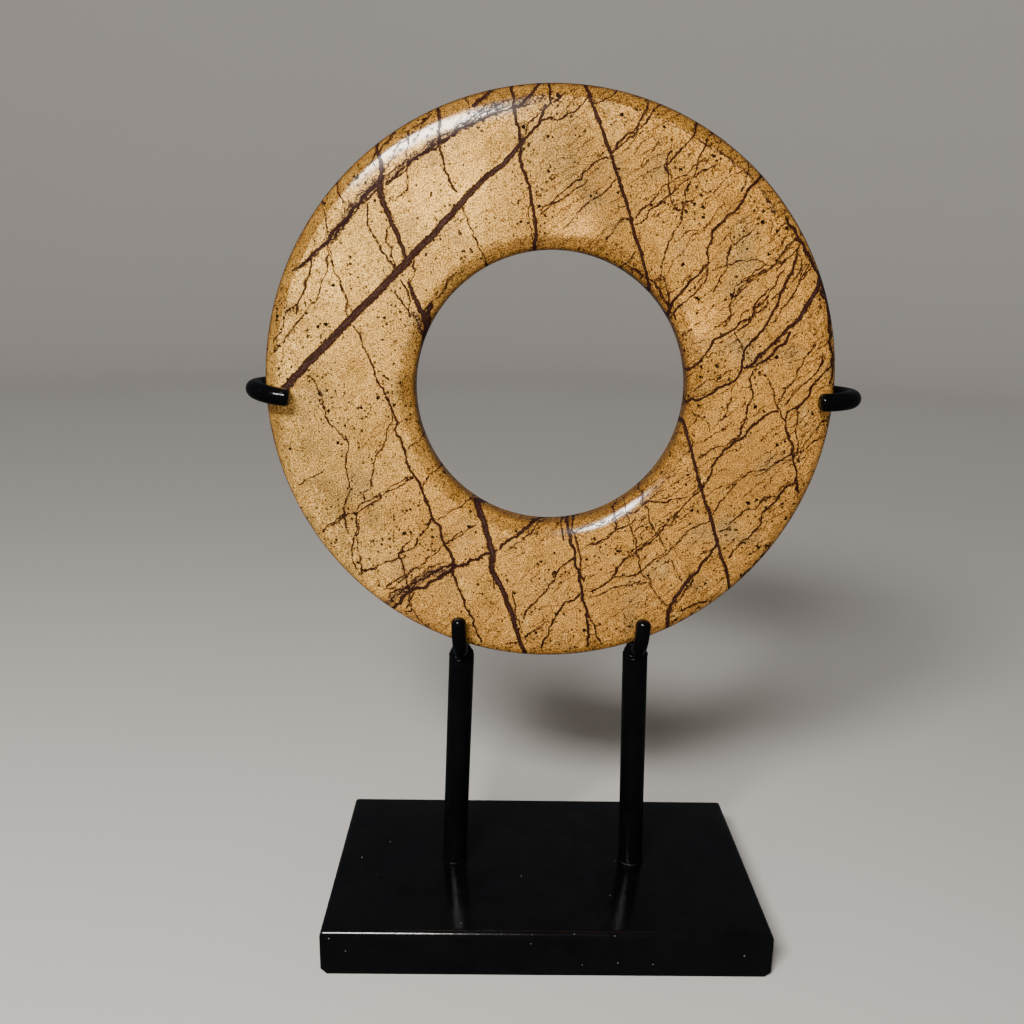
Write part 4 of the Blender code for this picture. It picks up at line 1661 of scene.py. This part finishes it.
@dataclass
class FoldedBase:
    """The box folded from sheet steel, open underneath.

    Attributes:
        sheet: thickness of the sheet in metres.
        fold: outer radius of the top folds in metres.
        corner: radius of the upright corners in metres.
        clip: size of the cut at each bottom corner in metres.
        fold_cells: faces across a fold.
        sharp: angle above which an edge is shaded sharp, in radians.
    """

    sheet: float = 2 * MM
    fold: float = 3 * MM
    corner: float = 0.9 * MM
    clip: float = 3 * MM
    fold_cells: int = 7
    sharp: float = math.radians(35)

    def build(self, material: bpy.types.Material) -> None:
        """Fold the box from its solid's size and dress it.

        Args:
            material: its finish.
        """
        low, high = (Vector(corner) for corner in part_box("base"))
        low.z = 0.0
        outer = self.block("base_outer", low, high)
        self.round_edges(outer, high.z)
        inner_low = low + Vector((self.sheet, self.sheet, -self.sheet))
        inner = self.block("base_inner", inner_low, high - Vector((self.sheet,) * 3))
        clips = self.corner_clips(high)
        for tool in (inner, clips):
            cut = outer.modifiers.new(tool.name, "BOOLEAN")
            cut.operation = "DIFFERENCE"
            cut.solver = "EXACT"
            cut.object = tool
        mesh = bpy.data.meshes.new_from_object(outer.evaluated_get(bpy.context.evaluated_depsgraph_get()))
        for old in (outer, inner, clips):
            bpy.data.objects.remove(old, do_unlink=True)
        mesh.shade_smooth()
        mesh.set_sharp_from_angle(angle=self.sharp)
        mesh.materials.clear()
        mesh.materials.append(material)
        show_piece("folded_base", mesh, ("base",))

    def block(self, name: str, low: Vector, high: Vector) -> bpy.types.Object:
        """Make a box between two corners.

        Args:
            name: name of the box.
            low: lowest corner.
            high: highest corner.

        Returns:
            The box's object.
        """
        bm = bmesh.new()
        size = high - low
        place = Matrix.Translation((low + high) / 2) @ Matrix.Diagonal((*size, 1.0))
        bmesh.ops.create_cube(bm, size=1.0, matrix=place)
        return self.loose(name, bm)

    def loose(self, name: str, bm: bmesh.types.BMesh) -> bpy.types.Object:
        """Put a bmesh into a helper object of its own.

        Args:
            name: name of the object.
            bm: the bmesh, freed here.

        Returns:
            The object.
        """
        mesh = bpy.data.meshes.new(name)
        bm.to_mesh(mesh)
        bm.free()
        helper = bpy.data.objects.new(name, mesh)
        bpy.context.scene.collection.objects.link(helper)
        return helper

    def round_edges(self, box: bpy.types.Object, top: float) -> None:
        """Round the top folds and, less, the upright corners.

        Args:
            box: the outer box.
            top: Z of its top in metres.
        """
        bm = bmesh.new()
        bm.from_mesh(box.data)
        weight = bm.edges.layers.float.new("bevel_weight_edge")
        for edge in bm.edges:
            heights = [vert.co.z for vert in edge.verts]
            if min(heights) > top / 2:
                edge[weight] = 1.0
            elif max(heights) > top / 2:
                edge[weight] = self.corner / self.fold
        bm.to_mesh(box.data)
        bm.free()
        bevel = box.modifiers.new("folds", "BEVEL")
        bevel.limit_method = "WEIGHT"
        bevel.width = self.fold
        bevel.segments = self.fold_cells

    def corner_clips(self, high: Vector) -> bpy.types.Object:
        """Cubes that slice the bottom corners off on the slant.

        Args:
            high: highest corner of the base.

        Returns:
            The cutter.
        """
        side = 8 * self.clip
        bm = bmesh.new()
        for sign_x in (-1, 1):
            for sign_y in (-1, 1):
                outward = Vector((sign_x, sign_y, -1)).normalized()
                corner = Vector((sign_x * high.x, sign_y * high.y, 0.0))
                turn = outward.to_track_quat("Z", "Y").to_matrix().to_4x4()
                turn.translation = corner + outward * (side / 2 - self.clip / math.sqrt(3))
                bmesh.ops.create_cube(bm, size=side, matrix=turn)
        return self.loose("corner_clips", bm)


@dataclass(frozen=True)
class HookSizes:
    """Sizes of the hooks on one side, in metres.

    Attributes:
        finger: height of the lower hook's front finger, from the rod's underside.
        room: between the rim and the side hook when the ring is centred.
        grip: how far the side hook's front arm reaches over the face.
        droop: how far its front tip hangs below its outermost point.
    """

    finger: float
    room: float
    grip: float
    droop: float


@dataclass
class RodStand:
    """Posts, lower hooks, the rod behind the ring and their welds.

    Attributes:
        ring: the ring that it carries.
        post: diameter of the posts in metres.
        lower_rod: diameter of the lower hooks' rod in metres.
        side_rod: diameter of the rod behind the ring in metres.
        foot_spacing: distance between the posts' feet in metres.
        top_spacing: distance between the posts' tops in metres.
        face_gap: between the stone's faces and the rods in metres.
        joint_gap: between solids that touch in metres.
        finger_lean: outward lean of the fingers in radians.
        hook_drop: side hooks below the ring's middle in metres.
        elbow: radius of the bends behind the ring in metres.
        step: spacing of points along bends in metres.
        post_sides: faces around a post.
        post_rounding: rounding of the posts' ends in metres.
        lower_rounding: the same of the lower hooks' ends.
        side_rounding: the same of the side hooks' ends.
        hooks: sizes that differ from side to side.
    """

    ring: StoneRing
    post: float = 12 * MM
    lower_rod: float = 7 * MM
    side_rod: float = 8 * MM
    foot_spacing: float = 89.2 * MM
    top_spacing: float = 83.2 * MM
    face_gap: float = 0.8 * MM
    joint_gap: float = 0.3 * MM
    finger_lean: float = math.radians(3)
    hook_drop: float = 1.4 * MM
    elbow: float = 12 * MM
    step: float = 1.0 * MM
    post_sides: int = 40
    post_rounding: float = 0.6 * MM
    lower_rounding: float = 2.4 * MM
    side_rounding: float = 2.0 * MM
    hooks: dict[Side, HookSizes] = field(
        default_factory=lambda: {
            Side.LEFT: HookSizes(finger=24 * MM, room=3.2 * MM, grip=11 * MM, droop=2.6 * MM),
            Side.RIGHT: HookSizes(finger=22.5 * MM, room=1.5 * MM, grip=13 * MM, droop=0.8 * MM),
        }
    )

    def build(self, material: bpy.types.Material) -> None:
        """Make and dress every rod and weld.

        Args:
            material: their finish.
        """
        for side in Side:
            word = side.name.lower()
            post = RoundRod(self.post, self.post_rounding, self.post_sides)
            mesh = post.sweep("post_" + word, self.post_line(side), material)
            show_piece("round_post_" + word, mesh, ("post_" + word,))
            hook = RoundRod(self.lower_rod, self.lower_rounding)
            mesh = hook.sweep("hook_" + word, self.lower_hook_line(side), material)
            show_piece("rim_hook_" + word, mesh, ("lower_hook_" + word,))
            self.weld(side, material)
        mesh = RoundRod(self.side_rod, self.side_rounding).sweep("yoke", self.yoke_line(), material)
        show_piece("bent_back_rod", mesh, ("back_yoke",))

    def hook_z(self) -> float:
        """Height of the side hooks."""
        return self.ring.middle()[1] - self.hook_drop

    def lower_rod_z(self, side: Side) -> float:
        """Z of the middle line of a lower hook's rod under the rim."""
        centre_x, centre_z = self.ring.middle()
        reach = self.ring.diameter / 2 + self.lower_rod / 2 + self.joint_gap
        return centre_z - math.sqrt(reach**2 - (side.value * self.top_spacing / 2 - centre_x) ** 2)

    def post_line(self, side: Side) -> list[Vector]:
        """Points of a post's middle line, from foot to top."""
        low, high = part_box("post_" + side.name.lower())
        foot = Vector((side.value * self.foot_spacing / 2, 0.0, low[2]))
        top = Vector((side.value * self.top_spacing / 2, 0.0, high[2]))
        return stretch(foot, top, count=60) + [top]

    def lower_hook_line(self, side: Side) -> list[Vector]:
        """Middle line of a lower hook, from its front finger to its leg behind the ring.

        Args:
            side: which hook.

        Returns:
            Its points.
        """
        radius = self.lower_rod / 2
        rod_z = self.lower_rod_z(side)
        x = side.value * self.top_spacing / 2
        bend = self.ring.rim_rounding() + self.face_gap + radius
        bend_y = self.ring.thickness / 2 - self.ring.rim_rounding()
        leg_y = bend_y + bend
        leg_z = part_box("lower_hook_" + side.name.lower())[1][2]
        finger_z = rod_z - radius + self.hooks[side].finger
        leg_top = self.yoke_underside(abs(x) - radius) - self.joint_gap
        tip = Vector((x, -leg_y, finger_z))
        centre = Vector((x, -bend_y, rod_z + bend))
        front = arc(centre, Y_AXIS, Z_AXIS, bend, math.pi, math.pi * 1.5, self.step)
        centre = Vector((x, bend_y, rod_z + bend))
        behind = arc(centre, Y_AXIS, Z_AXIS, bend, -math.pi / 2, 0.0, self.step)
        line = stretch(tip, front[0], count=8) + front + behind
        line.append(Vector((x, leg_y, min(leg_top, leg_z))))
        for point in line:
            if point.y < 0:
                point.x += side.value * math.tan(self.finger_lean) * (point.z - rod_z)
        return line

    def yoke_radius(self) -> float:
        """Radius of the half circle behind the middle of the stone."""
        return (self.ring.diameter + self.ring.hole) / 4

    def yoke_underside(self, offset: float) -> float:
        """Z of the underside of the rod behind the ring, at an offset from the stand's middle."""
        outer = self.yoke_radius() + self.side_rod / 2
        return self.hook_z() - self.elbow - math.sqrt(outer**2 - offset**2)

    def side_hook_line(self, side: Side) -> list[Vector]:
        """Middle line of a side hook, from its front tip round the rim and in to the elbow.

        Args:
            side: which hook.

        Returns:
            Its points.
        """
        arm_y = self.ring.thickness / 2 + self.face_gap + self.side_rod / 2
        hook = self.hooks[side]
        bend_x = self.ring.diameter / 2 + hook.room + self.side_rod / 2 - arm_y
        tip_x = self.ring.diameter / 2 - hook.grip
        outward = Vector((side.value, 0.0, 0.0))
        z = self.hook_z()
        tip = Vector((side.value * tip_x, -arm_y, z))
        centre = Vector((side.value * bend_x, 0.0, z))
        loop = arc(centre, outward, Y_AXIS, arm_y, -math.pi / 2, math.pi / 2, self.step)
        start = Vector((side.value * (self.yoke_radius() + self.elbow), arm_y, z - self.elbow))
        elbow = arc(start, outward, Z_AXIS, self.elbow, math.pi / 2, math.pi, self.step)
        arm = stretch(tip, loop[0], count=5)
        back = stretch(loop[-1], elbow[0], count=10)[1:]
        for point in arm + loop:
            if point.y < 0:
                point.z -= hook.droop * (1 - (abs(point.x) - tip_x) / (bend_x + arm_y - tip_x))
        return arm + loop + back + elbow

    def yoke_line(self) -> list[Vector]:
        """Middle line of the rod behind the ring, from tip to tip.

        Returns:
            Its points.
        """
        left = self.side_hook_line(Side.LEFT)
        right = self.side_hook_line(Side.RIGHT)
        centre = Vector((0.0, left[-1].y, self.hook_z() - self.elbow))
        bowl = arc(centre, -X_AXIS, -Z_AXIS, self.yoke_radius(), 0.0, math.pi, self.step * 1.5)
        return left + bowl[1:-1] + right[::-1]

    def weld(self, side: Side, material: bpy.types.Material) -> None:
        """Lay the welds at a post's foot and top and where its hook meets the back rod.

        Args:
            side: which post.
            material: their finish.
        """
        word = side.name.lower()
        foot, *_, top = self.post_line(side)
        leg = self.lower_hook_line(side)[-1]
        welds = (
            ("foot_weld_", foot, 0.3 * MM, self.post / 2 - 0.1 * MM, 1.8 * MM),
            ("low_weld_", top, 0.4 * MM, self.post / 2 - 1.3 * MM, 2.8 * MM),
            ("mid_weld_", top, 2.0 * MM, self.post / 2 - 1.9 * MM, 3.0 * MM),
            ("top_weld_", top, 3.8 * MM, self.lower_rod / 2 - 0.1 * MM, 2.6 * MM),
            ("leg_weld_", leg, -0.2 * MM, self.lower_rod / 2 - 0.4 * MM, 2.0 * MM),
        )
        for number, (name, joint, rise, radius, thickness) in enumerate(welds):
            bead = WeldBead(thickness, seed=number * 2 + side.value)
            bead.run(name + word, joint + Z_AXIS * rise, radius, material)


@dataclass(frozen=True)
class SoftLight:
    """An oblong soft light.

    Attributes:
        name: its name.
        place: its place in metres.
        aim: point that it faces.
        size: its width and height in metres.
        power: in watts.
        colour: its colour.
    """

    name: str
    place: Triple
    aim: Triple
    size: tuple[float, float]
    power: float
    colour: Colour = (1.0, 0.985, 0.96)

    def turned(self, number: int, angle: float) -> "SoftLight":
        """Another light like this one, with a number in its name, turned about the upright axis."""
        turn = Matrix.Rotation(angle, 3, "Z")
        place, aim = (tuple(turn @ Vector(spot)) for spot in (self.place, self.aim))
        return replace(self, name=self.name + str(number), place=place, aim=aim)

    def hang(self) -> bpy.types.Object:
        """Hang the light in the scene and return it."""
        data = bpy.data.lights.new(self.name, "AREA")
        data.shape = "RECTANGLE"
        data.size, data.size_y = self.size
        data.energy = self.power
        data.color = self.colour
        light = bpy.data.objects.new(self.name, data)
        light.location = self.place
        way = Vector(self.aim) - Vector(self.place)
        light.rotation_euler = way.to_track_quat("-Z", "Y").to_euler()
        bpy.context.scene.collection.objects.link(light)
        return light


RING_SPOT = (0.0, 0.0, 0.22)


@dataclass
class Studio:
    """Plain pale floor that sweeps up all round, and soft lights.

    Attributes:
        floor: radius of the level floor in metres.
        sweep: radius of its upturned edge in metres.
        wall: height of the wall above that in metres.
        key: the light that the stone's glare comes from.
        fill: a light behind that reaches the object alone.
        wall_light: a light that faces the wall.
        wall_lights: number of such lights, all round.
        surroundings: strength of the plain light from all round.
        surroundings_colour: its colour.
    """

    floor: float = 2.4
    sweep: float = 1.0
    wall: float = 1.2
    key: SoftLight = SoftLight("key_light", (-0.35, -0.80, 0.88), RING_SPOT, (0.46, 0.19), 18.8)
    fill: SoftLight = SoftLight("back_light", (0.30, 1.30, 0.62), RING_SPOT, (0.9, 0.6), 15.0)
    wall_light: SoftLight = SoftLight(
        "wall_light_", (0.0, 1.0, 2.3), (0.0, 3.4, 1.5), (1.2, 1.2), 15.0, (1.0, 0.98, 0.96)
    )
    wall_lights: int = 4
    surroundings: float = 0.06
    surroundings_colour: Colour = (0.93, 0.95, 1.0)

    def build(self) -> None:
        """Make the floor, the lights and the plain surroundings."""
        self.lay_floor()
        self.key.hang()
        self.keep_to_object(self.fill.hang())
        for number in range(self.wall_lights):
            self.wall_light.turned(number, number * math.tau / self.wall_lights).hang()
        world = bpy.data.worlds.new("plain_surroundings")
        world.use_nodes = True
        background = world.node_tree.nodes["Background"]
        background.inputs[0].default_value = (*self.surroundings_colour, 1.0)
        background.inputs[1].default_value = self.surroundings
        bpy.context.scene.world = world

    def lay_floor(self) -> None:
        """Turn the floor's profile round the upright axis."""
        profile = [Vector((0.0, 0.0, 0.0)), Vector((self.floor, 0.0, 0.0))]
        centre = Vector((self.floor, 0.0, self.sweep))
        profile += arc(centre, X_AXIS, Z_AXIS, self.sweep, -math.pi / 2, 0.0, step=0.12)[1:]
        profile.append(profile[-1] + Vector((0.0, 0.0, self.wall)))
        bm = bmesh.new()
        verts = [bm.verts.new(point) for point in profile]
        edges = [bm.edges.new(pair) for pair in zip(verts, verts[1:])]
        turn = {"cent": (0, 0, 0), "axis": (0, 0, 1), "angle": math.tau, "steps": 96}
        bmesh.ops.spin(bm, geom=verts + edges, **turn)
        bmesh.ops.remove_doubles(bm, verts=bm.verts, dist=1e-5)
        bmesh.ops.recalc_face_normals(bm, faces=bm.faces)
        mesh = bpy.data.meshes.new(FLOOR)
        bm.to_mesh(mesh)
        bm.free()
        mesh.shade_smooth()
        mesh.materials.append(PaleFloor().build())
        floor = bpy.data.objects.new(FLOOR, mesh)
        bpy.context.scene.collection.objects.link(floor)
        floor.visible_glossy = False

    def keep_to_object(self, light: bpy.types.Object) -> None:
        """Let a light reach the pieces alone, so that it throws no patch or shadow on the floor.

        Args:
            light: the light.
        """
        pieces = bpy.data.collections.new(light.name + "_reach")
        for piece in bpy.context.scene.objects:
            if piece.type == "MESH" and piece.name != FLOOR:
                pieces.objects.link(piece)
        light.light_linking.receiver_collection = pieces
        light.visible_glossy = False
        light.visible_camera = False


def main() -> None:
    """Build the camera, the ring, the stand and the studio in order."""
    logging.basicConfig(level=logging.INFO, format="%(name)s: %(message)s")
    camera = PhotoCamera()
    camera.set_up()
    ring = StoneRing()
    ring.build(camera, VeinedStone())
    FoldedBase().build(BlackEnamel().build())
    rods = BlackEnamel("rough_black_enamel", peel_mm=1.1, peel_depth=0.20 * MM, rough=0.10, shine=0.16)
    RodStand(ring).build(rods.build())
    Studio().build()


if __name__ == "__main__":
    main()
